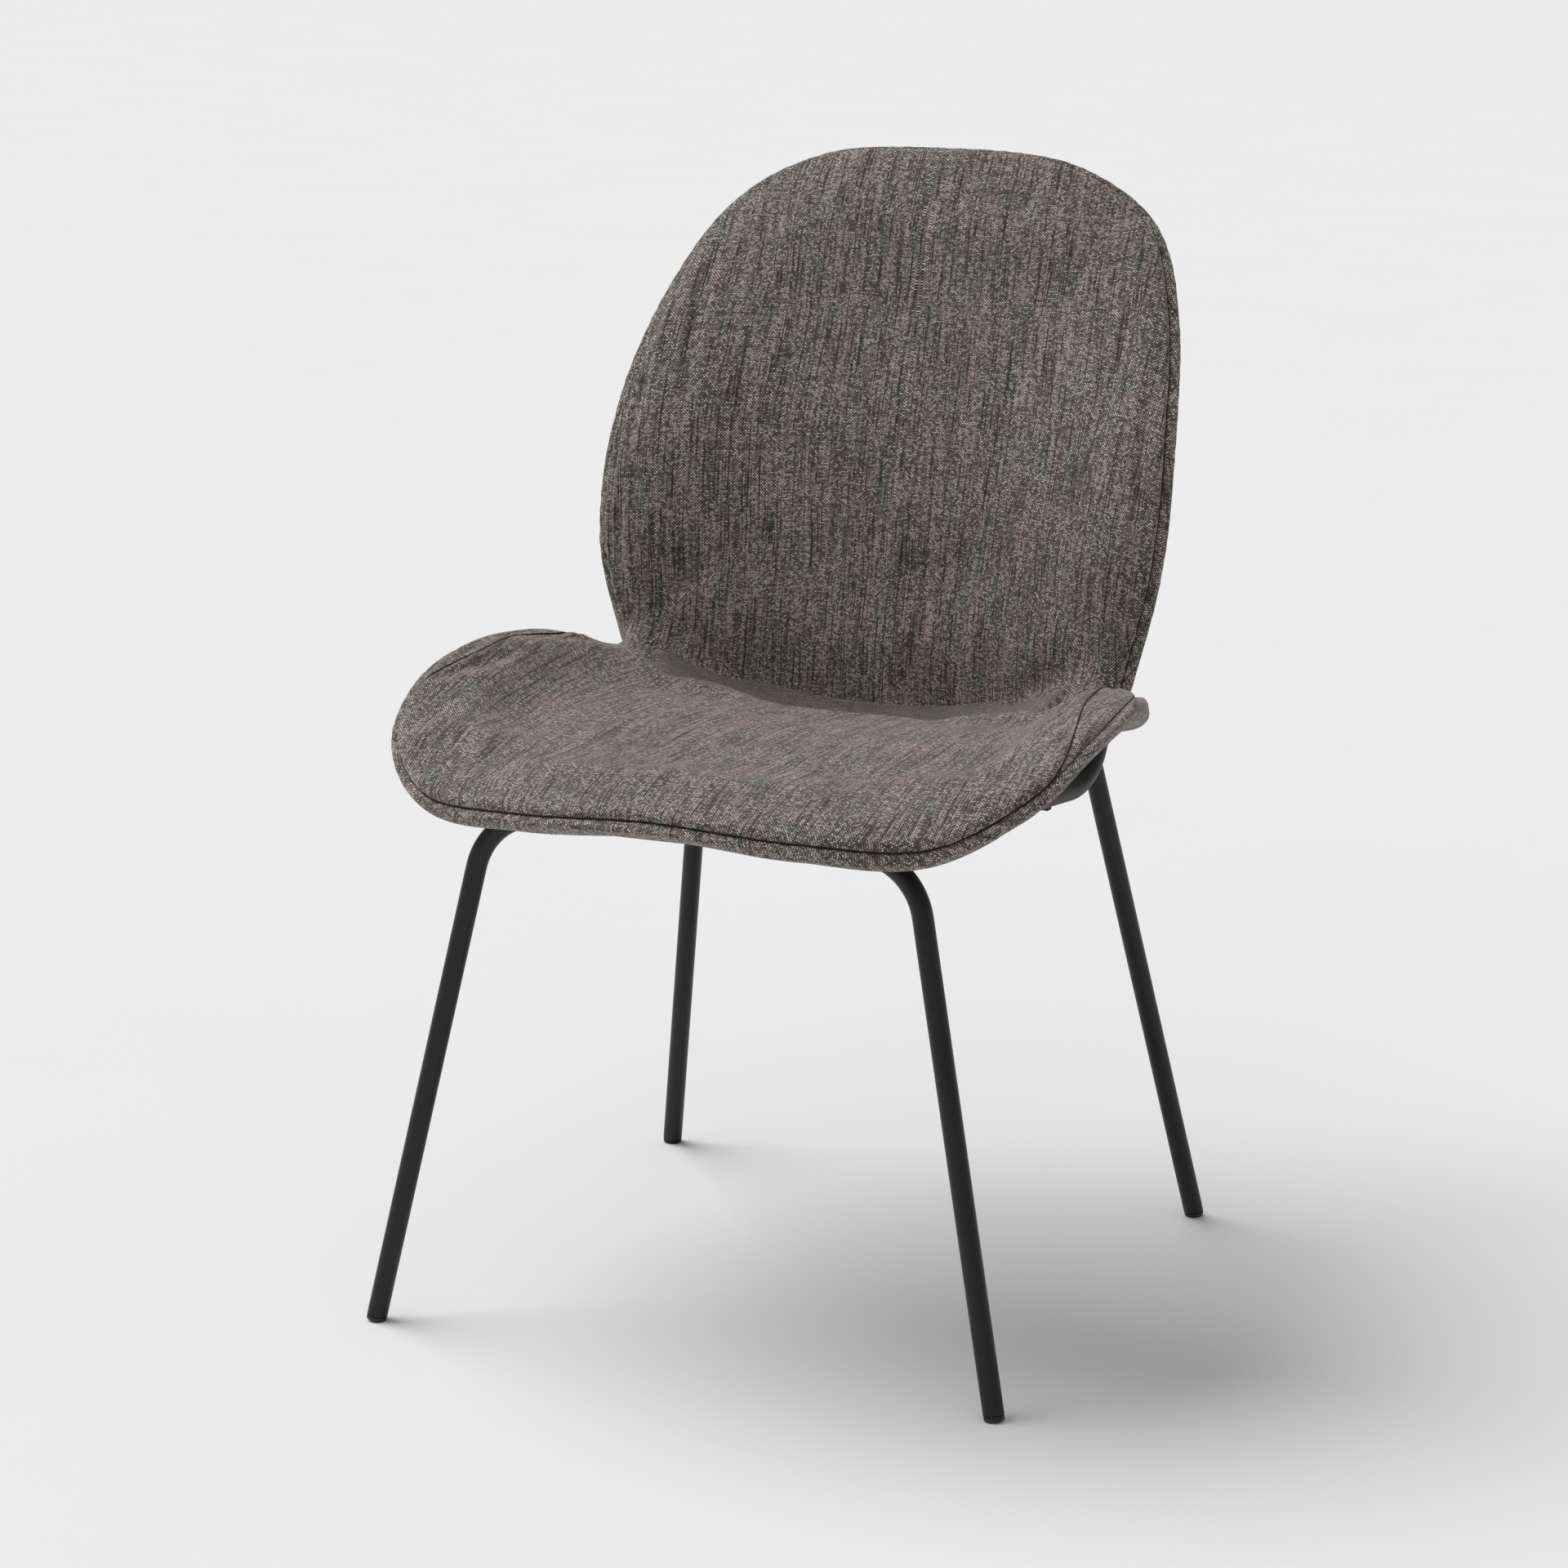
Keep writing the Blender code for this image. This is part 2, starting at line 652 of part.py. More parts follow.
def add_boss(pattern, at, inward, depth, shell, cover):
    """A boss on the shell, a pocket for its insert, and room for both in the cover. Returns its end."""
    end = at + inward * GAP
    top = at + inward * (depth - SHELL_THICKNESS * 0.75)
    boss = add_object("join_" + pattern.format("boss"), rod(end, top, BOSS_R), cutter=True)
    boolean(shell, boss, "UNION")
    clearance = rod(at - inward * BOSS_R, top, BOSS_R + GAP)
    boolean(cover, add_object("cut_" + pattern.format("boss"), clearance, cutter=True))
    pocket = rod(end - inward * 0.002, end + inward * (INSERT_LENGTH + 2 * GAP), INSERT_R + GAP)
    boolean(shell, add_object("cut_" + pattern.format("insert"), pocket, cutter=True))
    return end


def sleeve(base, axis, length, radius, bore):
    """A short tube on an axis, such as an insert or a washer."""
    profile = ((0, radius), (length, radius), (length, bore), (0, bore))
    return turned(base, axis, profile, SMALL_SIDES, bore=True)


def screw_body(head_base, outward, shank):
    """A button-head screw with a round socket. Its shank runs back from the head's base."""
    profile = (
        (-shank, SCREW_R * 0.8),
        (0.001 - shank, SCREW_R),
        (0, SCREW_R),
        (0, SCREW_HEAD_R),
        (SCREW_HEAD * 0.45, SCREW_HEAD_R * 0.97),
        (SCREW_HEAD, SCREW_HEAD_R * 0.6),
        (SCREW_HEAD, SCREW_SOCKET_R),
        (SCREW_HEAD * 0.4, SCREW_SOCKET_R),
    )
    return turned(head_base, outward, profile, SMALL_SIDES)


def make_fixings(surfaces, shells, covers, finishes):
    """Boss on the shell, insert in the boss, tab hole, washer and screw at each fixing place."""
    for pattern, at, inward in fixing_axes():
        part, _, end, name = pattern.split("_")
        depth = surface_distance(surfaces[part], at, inward)
        boss_end = add_boss(pattern, at, inward, depth, shells[part], covers[part])
        insert = sleeve(boss_end + inward * GAP, inward, INSERT_LENGTH, INSERT_R, INSERT_BORE_R)
        add_object(pattern.format("insert"), insert, finishes["brass"])

        tab = bpy.data.objects[f"back_tab_{name}" if part == "back" else f"seat_tab_{end}_{name}"]
        hole = rod(at + inward * TAB_THICKNESS, at - inward * 2 * TAB_THICKNESS, INSERT_BORE_R)
        boolean(tab, add_object("cut_" + pattern.format("hole"), hole, cutter=True))

        under_tab = at - inward * (TAB_THICKNESS + GAP)
        washer = sleeve(under_tab, -inward, WASHER_THICKNESS, WASHER_R, INSERT_BORE_R)
        add_object(pattern.format("washer"), washer, finishes["zinc"])
        head_base = under_tab - inward * (WASHER_THICKNESS + GAP)
        shank = TAB_THICKNESS + WASHER_THICKNESS + 3 * GAP + INSERT_LENGTH * 0.9
        add_object(pattern.format("screw"), screw_body(head_base, -inward, shank), finishes["steel"])


# ---------------------------------------------------------------- the chair


def centre_on_floor():
    """Moves everything so that the origin is on the floor, under the middle of the chair's outline."""
    bpy.context.view_layer.update()
    graph = bpy.context.evaluated_depsgraph_get()
    shown = [obj for obj in bpy.context.scene.objects if not obj.hide_render]
    ys = [
        (obj.matrix_world @ Vector(corner)).y
        for obj in (shown_obj.evaluated_get(graph) for shown_obj in shown)
        for corner in obj.bound_box
    ]
    middle = (min(ys) + max(ys)) / 2
    for obj in bpy.context.scene.objects:
        obj.location.y -= middle


def main():
    clear_scene()
    steel = material("black_powder_coat", BLACK_STEEL, 0.45, 0.3)
    nylon = material("black_nylon", BLACK_NYLON, 0.6)
    fabric = material("grey_weave", FABRIC, 0.95)
    plastic = material("moulded_shell", MOULDED_PLASTIC, 0.5)
    brass = material("brass", BRASS, 0.35, 1.0)
    zinc = material("zinc", ZINC, 0.4, 1.0)

    cutters = make_frame(steel, nylon)
    make_tabs(steel, cutters)

    surfaces = {"seat": SeatSurface(SEAT_RIM), "back": BackSurface(BACK_RIM)}
    cover_names = {"seat": "seat_under_cover", "back": "back_rear_cover"}
    shells, covers = {}, {}
    for part, surface in surfaces.items():
        add_object(f"{part}_pad", pad_body(surface), fabric)
        shells[part] = add_object(f"{part}_shell", shell_body(surface), plastic)
        covers[part] = add_object(cover_names[part], cover_body(surface), fabric)
    make_fixings(surfaces, shells, covers, {"steel": steel, "brass": brass, "zinc": zinc})
    centre_on_floor()


main()
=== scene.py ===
import json
import math

import bmesh
import bpy
import numpy as np
from mathutils import Matrix, Vector


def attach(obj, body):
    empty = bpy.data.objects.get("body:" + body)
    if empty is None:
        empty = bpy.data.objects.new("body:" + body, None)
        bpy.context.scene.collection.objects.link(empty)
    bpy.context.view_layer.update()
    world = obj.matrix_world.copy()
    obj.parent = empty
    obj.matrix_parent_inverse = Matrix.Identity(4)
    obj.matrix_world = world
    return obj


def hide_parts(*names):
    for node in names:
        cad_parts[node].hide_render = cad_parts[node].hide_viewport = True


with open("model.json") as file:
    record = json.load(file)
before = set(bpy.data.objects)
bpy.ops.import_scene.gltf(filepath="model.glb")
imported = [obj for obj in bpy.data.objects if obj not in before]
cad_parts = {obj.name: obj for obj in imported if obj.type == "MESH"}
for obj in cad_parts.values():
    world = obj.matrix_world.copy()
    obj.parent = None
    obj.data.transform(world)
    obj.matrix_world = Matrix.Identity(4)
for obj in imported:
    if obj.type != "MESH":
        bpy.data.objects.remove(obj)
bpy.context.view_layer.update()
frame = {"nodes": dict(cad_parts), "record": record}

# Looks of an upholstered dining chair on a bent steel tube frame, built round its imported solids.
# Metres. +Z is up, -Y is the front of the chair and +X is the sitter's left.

# ---------------------------------------------------------------- driving dimensions

# The solids' frame is the design's, moved along Y. A front foot's mount gives by how much.
FRONT_FOOT = np.array((0.2585, -0.2447, 0.0))
MOUNTS = {mount["name"]: mount for mount in frame["record"]["mounts"]}
SHIFT = np.array((0.0, MOUNTS["foot_front_right"]["pos_m"][1] - FRONT_FOOT[1], 0.0))

LEG_R = 0.008
STEM_R = 0.010
FRONT_BEND = np.array((0.1836, -0.2048, 0.3623))
FRONT_BEND_R = 0.054
REAR_FOOT = np.array((0.2402, 0.2454, 0.0))
REAR_TOP = np.array((0.1670, 0.1647, 0.4270))
STEM_BEND = np.array((0.175, 0.1095, 0.3878))
STEM_BEND_R = 0.046
STEM_FRONT_X = 0.120
STEM_FRONT_DROP = 0.003
STEM_LEAN = math.radians(14)
STEM_TOP_Z = 0.600
CROSS_TUBE_Y = 0.080
CROSS_TUBE_DROP = 0.016
GLIDE_HEAD = 0.0045
GLIDE_HEAD_R = 0.0078
GAP = 0.0003
SWAGE_R = 0.0072
SWAGE = (
    (0.0, SWAGE_R), (0.012, SWAGE_R), (0.016, SWAGE_R + 0.0006), (0.022, STEM_R - 0.0004), (0.026, STEM_R),
)
WELD_R = 0.0017
WELD_STEPS = 72
WELD_RIPPLES = 14
TUBE_SIDES = 40
TURNED_SIDES = 48
BEND_STEPS = 24
SIDES = {"left": 1, "right": -1}

# Tabs and fixings
TAB_THICKNESS = 0.003
TAB_IN_STEM = 0.004
TAB_REACH = 0.024
SEAT_TAB_SIZE = (0.046, 0.034)
SEAT_TAB_YS = {"front": -0.130, "rear": 0.055}
BACK_TAB_ZS = {"lower": 0.505, "upper": 0.570}
BACK_TAB_MARGIN = 0.016
SCREW_R = 0.0030
SCREW_HEAD_R = 0.0060
SCREW_HEAD = 0.0026
SOCKET_R = 0.0018
WASHER_R = 0.0070
WASHER_THICKNESS = 0.0012
BOSS_COLLAR_UP = 0.0004
BOSS_COLLAR = ((0.0, 0.0094), (0.0004, 0.0103), (0.0012, 0.0106), (0.0030, 0.0107), (0.0052, 0.0118))

# Right half of each rim seam, from the notch between seat and back to the middle
NOTCH = (0.222, 0.1165, 0.470)
SEAT_RIM = (
    NOTCH,
    (0.2535, 0.0534, 0.4860),
    (0.2745, -0.0265, 0.4945),
    (0.2765, -0.1136, 0.4820),
    (0.2578, -0.1905, 0.4519),
    (0.2055, -0.2444, 0.4245),
    (0.1141, -0.2756, 0.4265),
    (0.0, -0.2852, 0.4334),
)
BACK_RIM = (
    NOTCH,
    (0.2325, 0.1185, 0.5231),
    (0.2390, 0.1320, 0.5921),
    (0.2345, 0.1610, 0.6690),
    (0.2180, 0.2110, 0.7470),
    (0.1810, 0.2590, 0.8165),
    (0.1080, 0.2730, 0.8560),
    (0.0, 0.2790, 0.8640),
)
CREASE_MID = (0.1416, 0.4100)
CREASE_Y_POWER = 2.2
CREASE_Z_POWER = 2.6
NOTCH_FADE = 0.090
NOTCH_PINCH = 0.005
SEAT_CENTRE_Y = -0.070
SEAT_LINE = ((-0.2852, 0.4334), CREASE_MID)
SEAT_RISE_POWER = 2.4
BACK_CENTRE_Z = 0.640
BACK_LINE = ((0.4100, 0.1416), (0.8640, 0.2790))
BACK_WRAP_POWER = 2.0

# Cross-sections as (distance in from the seam, height off the shell's face)
PAD_AT_RIM = (
    (0.0002, 0.0002), (0.0001, 0.0022), (0.0009, 0.0052), (0.0036, 0.0096),
    (0.0085, 0.0142), (0.0170, 0.0188), (0.0290, 0.0214), (0.0440, 0.0222),
)
FOLD_SHARE = 0.81
COVER_AT_RIM = (
    (0.0002, 0.0002), (-0.0016, 0.0018), (-0.0034, 0.0044), (-0.0040, 0.0074), (-0.0030, 0.0108),
    (0.0004, 0.0138), (0.0080, 0.0148), (0.0200, 0.0144), (0.0360, 0.0128), (0.0560, 0.0112),
)
COVER_AT_CREASE = (
    (0.0010, 0.0002), (0.0002, 0.0016), (-0.0010, 0.0040), (-0.0026, 0.0066), (-0.0040, 0.0090),
    (-0.0030, 0.0108), (0.0040, 0.0112), (0.0160, 0.0112), (0.0340, 0.0112), (0.0560, 0.0112),
)
PAD_THICKNESS = 0.0222
COVER_THICKNESS = 0.0112
FOLD_DEPTH = 0.42
FOLD_DEPTH_AT_NOTCH = 0.36
FOLD_FADE = 0.09
FOLD_WIDTH = 0.016
FOLD_SOFT_OVER = 0.13
DISH_DIP = 0.0165
DISH_AT = 0.71
DISH_WIDTH = 0.14
WING_RISE = 0.055
FRONT_ROLL = 0.16
FRONT_ROLL_FROM = 0.10
FRONT_ROLL_OVER = 0.15
THIN_SEAT = 0.50
THIN_BACK = 0.45
THIN_OVER = 0.062
BAND_FULL = 0.0085
BAND_FULL_AT = 0.095
BAND_FULL_OVER = 0.060
BAND_FULL_IN = 0.020
BAND_FULL_WIDTH = 0.014
SEAM_LIFT = 0.028
SEAM_LIFT_FROM = 0.016
SEAM_LIFT_FULL = 0.095
SEAM_LIFT_KEPT = 0.170
SEAM_LIFT_TO = 0.310
# Where the cloth has settled: middle, movement there, and how far round it
SETTLED = (
    ((0.236, 0.080, 0.478), (-0.0050, 0.0, -0.0105), 0.062),
    ((-0.222, 0.1165, 0.470), (0.0010, 0.0, -0.0030), 0.050),
)
SHELL_GROOVE = 0.0057
SHELL_FLOOR = 0.0085
HIDDEN = -1.0
WARP_OFFSETS = (0.0, 0.437)

# Seam: groove, allowance ridge beside it, and the cord in it, whose near-black colour is painted shadow in
# the seam's gap
SEAM_DEPTH = 0.0011
SEAM_WIDTH = 0.0015
RIDGE_AT = 0.0058
RIDGE_WIDTH = 0.0026
VALLEY_AT = 0.0135
VALLEY_WIDTH = 0.0048
PAD_RIDGE = (0.0009, 0.0006)
COVER_RIDGE = (0.0007, 0.0010)
RIPPLE = 0.00022
PUCKER = 0.00018
PUCKER_AT_NOTCH = 0.0011
PUCKER_OVER = 0.05
PUCKER_IN = 0.012
BAND_FOLD = (-0.0010, 0.0115, 0.0013)
BAND_ROLL = (0.0006, 0.0150, 0.0024)
BAND_WANDER = 0.0016
CORD_INSET = 0.0016
CORD_R = 0.0007
CORD_SWAY = 0.00012
CORD_STEPS = 900
CORD_SIDES = 10
FREE_FROM = 0.004
FREE_OVER = 0.012

# The tail of cloth at one notch, measured from the notch
TAIL_LINE = (
    (-0.004, 0.001, 0.002), (0.000, -0.001, 0.003), (0.0035, -0.003, 0.0025),
    (0.0060, -0.004, -0.0010), (0.0045, -0.004, -0.0040), (0.001, -0.002, -0.0045),
)
TAIL_R = 0.0030
TAIL_STEPS = 40
TAIL_SIDES = 24
TAIL_LENGTH = 0.018

# Cloth simulation
CLOTH_FRAMES = 20
PAD_PRESSURE = 4.0
PAD_SWELL = 0.005
COVER_PRESSURE = 3.0
COVER_SWELL = 0.002

# Studio
FLOOR_R = 60.0
SKY_STRENGTH = 0.32
KEY_FROM = (-0.64, 0.05, 1.0)
KEY_STRENGTH = 2.10
KEY_SPREAD = 46.0
FILL_FROM = (-0.2, -0.5, 1.0)
FILL_STRENGTH = 0.45
FILL_SPREAD = 70.0

# Mesh density
RIM_COLUMNS = 264
CREASE_COLUMNS = 76
EDGE_RINGS = 22
INNER_RINGS = 14
COVER_RINGS = 20
HIDDEN_RINGS = 1
GRID_SHARE = 0.46
GRID_START = RIM_COLUMNS - 5

# Camera, round the chair's middle
CAMERA_AZIMUTH = math.radians(24.5)
CAMERA_ELEVATION = math.radians(13.75)
CAMERA_ROLL = math.radians(-0.2)
CAMERA_DISTANCE = 3.62
CAMERA_AIM = (-0.0198, 0.3875)
CAMERA_LENS = 103.69


# ---------------------------------------------------------------- curves and surfaces


def through(controls, count):
    """count points at equal steps along a centripetal Catmull-Rom curve through the control points."""
    points = np.array(controls, float)
    points = np.vstack([2 * points[0] - points[1], points, 2 * points[-1] - points[-2]])
    steps = np.sqrt(np.linalg.norm(np.diff(points, axis=0), axis=1))
    knots = np.concatenate([[0], np.cumsum(steps)])
    dense = []
    for i in range(1, len(points) - 2):
        t = np.linspace(knots[i], knots[i + 1], 60, endpoint=False)[:, None]
        first = []
        for k in (i - 1, i, i + 1):
            span = knots[k + 1] - knots[k]
            first.append(((knots[k + 1] - t) * points[k] + (t - knots[k]) * points[k + 1]) / span)
        second = []
        for n, k in enumerate((i - 1, i)):
            span = knots[k + 2] - knots[k]
            second.append(((knots[k + 2] - t) * first[n] + (t - knots[k]) * first[n + 1]) / span)
        span = knots[i + 1] - knots[i]
        dense.append(((knots[i + 1] - t) * second[0] + (t - knots[i]) * second[1]) / span)
    dense = np.vstack([*dense, points[-2][None]])
    length = np.concatenate([[0], np.cumsum(np.linalg.norm(np.diff(dense, axis=0), axis=1))])
    wanted = np.linspace(0, length[-1], count)
    return np.stack([np.interp(wanted, length, dense[:, k]) for k in range(dense.shape[1])], axis=1)


def eased(share):
    share = np.clip(share, 0, 1)
    return share * share * (3 - 2 * share)


def line_at(line, value):
    (a, at_a), (b, at_b) = line
    return at_a + (value - a) * (at_b - at_a) / (b - a)


def unit(vectors):
    return vectors / np.linalg.norm(vectors, axis=-1, keepdims=True)


class Surface:
    """A shell's face as rings that shrink from its outline to a centre.

    The outline's columns run along the rim from the notch at +X to the one at -X, then along the crease.
    """

    def __init__(self, half_rim):
        controls = [*half_rim, *[(-x, y, z) for x, y, z in half_rim[-2::-1]]]
        rim = through(controls, RIM_COLUMNS)
        share = np.linspace(-1, 1, CREASE_COLUMNS + 2)[1:-1]
        mid_y, mid_z = CREASE_MID
        crease = np.stack([
            share * NOTCH[0],
            mid_y + (NOTCH[1] - mid_y) * np.abs(share) ** CREASE_Y_POWER,
            mid_z + (NOTCH[2] - mid_z) * np.abs(share) ** CREASE_Z_POWER,
        ], axis=1)
        self.outline = np.vstack([rim, crease])
        notch = np.where(self.outline[:, :1] > 0, rim[0], rim[-1])
        self.from_notch = np.linalg.norm(self.outline - notch, axis=1)
        self.on_crease = np.arange(len(self.outline)) >= RIM_COLUMNS
        self.weight = np.where(self.on_crease, 0, eased(self.from_notch / NOTCH_FADE))
        self.pinch = NOTCH_PINCH * (1 - eased(self.from_notch / NOTCH_FADE))
        self.reach = np.linalg.norm(self.outline - self.centre(), axis=1)
        self.along = np.concatenate([[0], np.cumsum(np.linalg.norm(np.diff(self.outline, axis=0), axis=1))])

    def shares(self, inset):
        """The ring share of each column at a distance in from the outline."""
        return 1 - (self.pinch + inset) / self.reach

    def normals(self, share):
        step = 0.02
        outward = self.at(share + step) - self.at(share - step)
        points = self.at(share)
        around = np.roll(points, -3, axis=0) - np.roll(points, 3, axis=0)
        found = np.cross(outward, around)
        found *= np.sign(found @ np.array(self.facing))[:, None]
        found = unit(found)
        for _ in range(24):
            found = unit(found + 0.5 * (np.roll(found, 1, axis=0) + np.roll(found, -1, axis=0)))
        return found

    def ring(self, inset, height):
        share = self.shares(inset)
        return self.at(share) + self.normals(share) * np.broadcast_to(height, share.shape)[:, None]


class SeatSurface(Surface):
    facing = (0.0, 0.05, 1.0)

    def centre(self):
        return np.array((0, SEAT_CENTRE_Y, line_at(SEAT_LINE, SEAT_CENTRE_Y)))

    def at(self, share):
        points = self.centre() + (self.outline - self.centre()) * share[:, None]
        rise = self.outline[:, 2] - line_at(SEAT_LINE, self.outline[:, 1])
        points[:, 2] = line_at(SEAT_LINE, points[:, 1]) + rise * share**SEAT_RISE_POWER
        return points


class BackSurface(Surface):
    facing = (0.0, -1.0, 0.27)

    def centre(self):
        return np.array((0, line_at(BACK_LINE, BACK_CENTRE_Z), BACK_CENTRE_Z))

    def at(self, share):
        points = self.centre() + (self.outline - self.centre()) * share[:, None]
        wrap = line_at(BACK_LINE, self.outline[:, 2]) - self.outline[:, 1]
        points[:, 1] = line_at(BACK_LINE, points[:, 2]) - wrap * share**BACK_WRAP_POWER
        return points


SEAT = SeatSurface(SEAT_RIM)
BACK = BackSurface(BACK_RIM)
COLUMNS = RIM_COLUMNS + CREASE_COLUMNS


# ---------------------------------------------------------------- mesh helpers


def mesh_object(name, points, faces, material):
    mesh = bpy.data.meshes.new(name)
    mesh.from_pydata([tuple(p) for p in points], [], [tuple(f) for f in faces])
    mesh.validate()
    made = bmesh.new()
    made.from_mesh(mesh)
    bmesh.ops.recalc_face_normals(made, faces=made.faces)
    made.to_mesh(mesh)
    made.free()
    mesh.shade_smooth()
    obj = bpy.data.objects.new(name, mesh)
    bpy.context.scene.collection.objects.link(obj)
    mesh.materials.append(material)
    return obj


def points_of(obj):
    found = np.empty(len(obj.data.vertices) * 3, np.float32)
    obj.data.vertices.foreach_get("co", found)
    return found.reshape(-1, 3).astype(float)


def set_points(obj, points):
    obj.data.vertices.foreach_set("co", points.astype(np.float32).ravel())
    obj.data.update()


def normals_of(obj):
    found = np.empty(len(obj.data.vertices) * 3, np.float32)
    obj.data.vertex_normals.foreach_get("vector", found)
    return found.reshape(-1, 3).astype(float)


def edges_of(obj):
    found = np.empty(len(obj.data.edges) * 2, np.int32)
    obj.data.edges.foreach_get("vertices", found)
    return found.reshape(-1, 2)


def relax(obj, amount, rounds):
    """Moves each point, and its place in the weave, towards the middle of its neighbours. amount: 0 to 1."""
    jump = read_layer(obj, "jump")
    values = np.hstack([points_of(obj), read_layer(obj, "weave") + jump])
    amount = amount[:, None]
    edges = edges_of(obj)
    near, far = np.concatenate([edges, edges[:, ::-1]]).T
    count = np.bincount(near, minlength=len(values))[:, None]
    for _ in range(rounds):
        total = [np.bincount(near, weights=column[far], minlength=len(values)) for column in values.T]
        values += (np.stack(total, axis=1) / count - values) * amount
    set_points(obj, values[:, :3])
    value_layer(obj, "weave", values[:, 3:] - jump)


def subdivide(obj):
    modifier = obj.modifiers.new("subdivide", "SUBSURF")
    modifier.levels = modifier.render_levels = 1
    modifier.uv_smooth = "NONE"
    apply_modifiers(obj)


def apply_modifiers(obj):
    graph = bpy.context.evaluated_depsgraph_get()
    dressed = obj.evaluated_get(graph)
    made = bpy.data.meshes.new_from_object(dressed, preserve_all_data_layers=True, depsgraph=graph)
    obj.modifiers.clear()
    old = obj.data
    obj.data = made
    bpy.data.meshes.remove(old)
    made.name = obj.name


def value_layer(obj, name, values):
    """Stores a number or a vector for each point."""
    values = np.asarray(values, np.float32)
    kind, field = ("FLOAT", "value") if values.ndim == 1 else ("FLOAT_VECTOR", "vector")
    layer = obj.data.attributes.get(name) or obj.data.attributes.new(name, kind, "POINT")
    layer.data.foreach_set(field, values.ravel())


def read_layer(obj, name):
    layer = obj.data.attributes[name]
    wide = 3 if layer.data_type == "FLOAT_VECTOR" else 1
    found = np.empty(len(layer.data) * wide, np.float32)
    layer.data.foreach_get("vector" if wide == 3 else "value", found)
    return found.reshape(-1, 3).astype(float) if wide == 3 else found.astype(float)


# ---------------------------------------------------------------- procedural materials


class Nodes:
    """Short calls for building a node tree."""

    def __init__(self, name):
        self.material = bpy.data.materials.new(name)
        self.material.use_nodes = True
        self.tree = self.material.node_tree
        self.shader = self.tree.nodes["Principled BSDF"]

    def add(self, kind, inputs=(), **settings):
        node = self.tree.nodes.new(kind)
        for name, value in settings.items():
            setattr(node, name, value)
        for name, value in dict(inputs).items():
            if isinstance(value, bpy.types.NodeSocket):
                self.tree.links.new(value, node.inputs[name])
            else:
                node.inputs[name].default_value = value
        return node

    def math(self, operation, a, b=0.0):
        return self.add("ShaderNodeMath", {0: a, 1: b}, operation=operation).outputs[0]

    def times(self, a, b):
        return self.math("MULTIPLY", a, b)

    def vector(self, operation, inputs):
        return self.add("ShaderNodeVectorMath", inputs, operation=operation).outputs[0]

    def pair(self, a, b):
        return self.add("ShaderNodeCombineXYZ", {0: a, 1: b}).outputs[0]

    def span(self, value, low, high, to_low=0.0, to_high=1.0):
        """value, mapped from low..high to to_low..to_high with eased ends."""
        inputs = {"Value": value, "From Min": low, "From Max": high, "To Min": to_low, "To Max": to_high}
        return self.add("ShaderNodeMapRange", inputs, interpolation_type="SMOOTHSTEP").outputs[0]

    def mix(self, factor, a, b, blend="MIX"):
        node = self.add("ShaderNodeMix", data_type="RGBA", blend_type=blend)
        for index, value in ((0, factor), (6, a), (7, b)):
            if isinstance(value, bpy.types.NodeSocket):
                self.tree.links.new(value, node.inputs[index])
            else:
                node.inputs[index].default_value = value
        return node.outputs[2]

    def noise(self, vector, scale, detail=2.0, roughness=0.5, dimensions="3D"):
        inputs = {"Vector": vector, "Scale": scale, "Detail": detail, "Roughness": roughness}
        return self.add("ShaderNodeTexNoise", inputs, noise_dimensions=dimensions).outputs["Fac"]

    def streaks(self, vector, scale_x, scale_y, detail=2.0, roughness=0.6):
        """Flat noise, stretched along X or Y."""
        stretched = self.vector("MULTIPLY", {0: vector, 1: (scale_x, scale_y, 1.0)})
        return self.noise(stretched, 1.0, detail, roughness, "2D")

    def bump(self, height, distance, strength):
        inputs = {"Height": height, "Distance": distance, "Strength": strength}
        return self.add("ShaderNodeBump", inputs).outputs[0]

    def connect(self, name, value):
        if isinstance(value, bpy.types.NodeSocket):
            self.tree.links.new(value, self.shader.inputs[name])
        else:
            self.shader.inputs[name].default_value = value


def grey(value):
    return (value, value, value, 1.0)


THREAD = 0.00118
DARK_YARN = (0.014, 0.012, 0.011, 1.0)
MAUVE_YARN = (0.320, 0.252, 0.240, 1.0)
OLIVE_YARN = (0.238, 0.230, 0.192, 1.0)
PALE_YARN = (0.86, 0.80, 0.74, 1.0)
SHEEN_TINT = (0.86, 0.80, 0.78, 1.0)
WANDER_SCALE = 26.0
WANDER = 0.0012
RELIEF = 0.00040


def wandering(n, place):
    """A place in the cloth, moved a little so that no thread is quite straight."""
    noise = n.add("ShaderNodeTexNoise", {"Vector": place, "Scale": WANDER_SCALE, "Detail": 1.0})
    wander = n.vector("SUBTRACT", {0: noise.outputs["Color"], 1: (0.5, 0.5, 0.5)})
    return n.vector("ADD", {0: place, 1: n.vector("SCALE", {0: wander, "Scale": WANDER})})


def twill(n, across, along):
    """Height of the thread on top, and chance values for its float.

    A float covers two warp threads, and steps one thread sideways in each row.
    """
    row = n.math("FLOOR", along)
    stepped = n.math("DIVIDE", n.math("ADD", across, row), 2.0)
    float_index = n.math("FLOOR", stepped)
    cell = n.pair(float_index, row)
    chance = n.add("ShaderNodeTexWhiteNoise", {"Vector": cell}, noise_dimensions="2D").outputs
    over = n.math("SINE", n.times(n.math("SUBTRACT", stepped, float_index), math.pi))
    beside = n.math("SINE", n.times(n.math("SUBTRACT", along, row), math.pi))
    return n.times(over, n.math("POWER", beside, 0.6)), chance


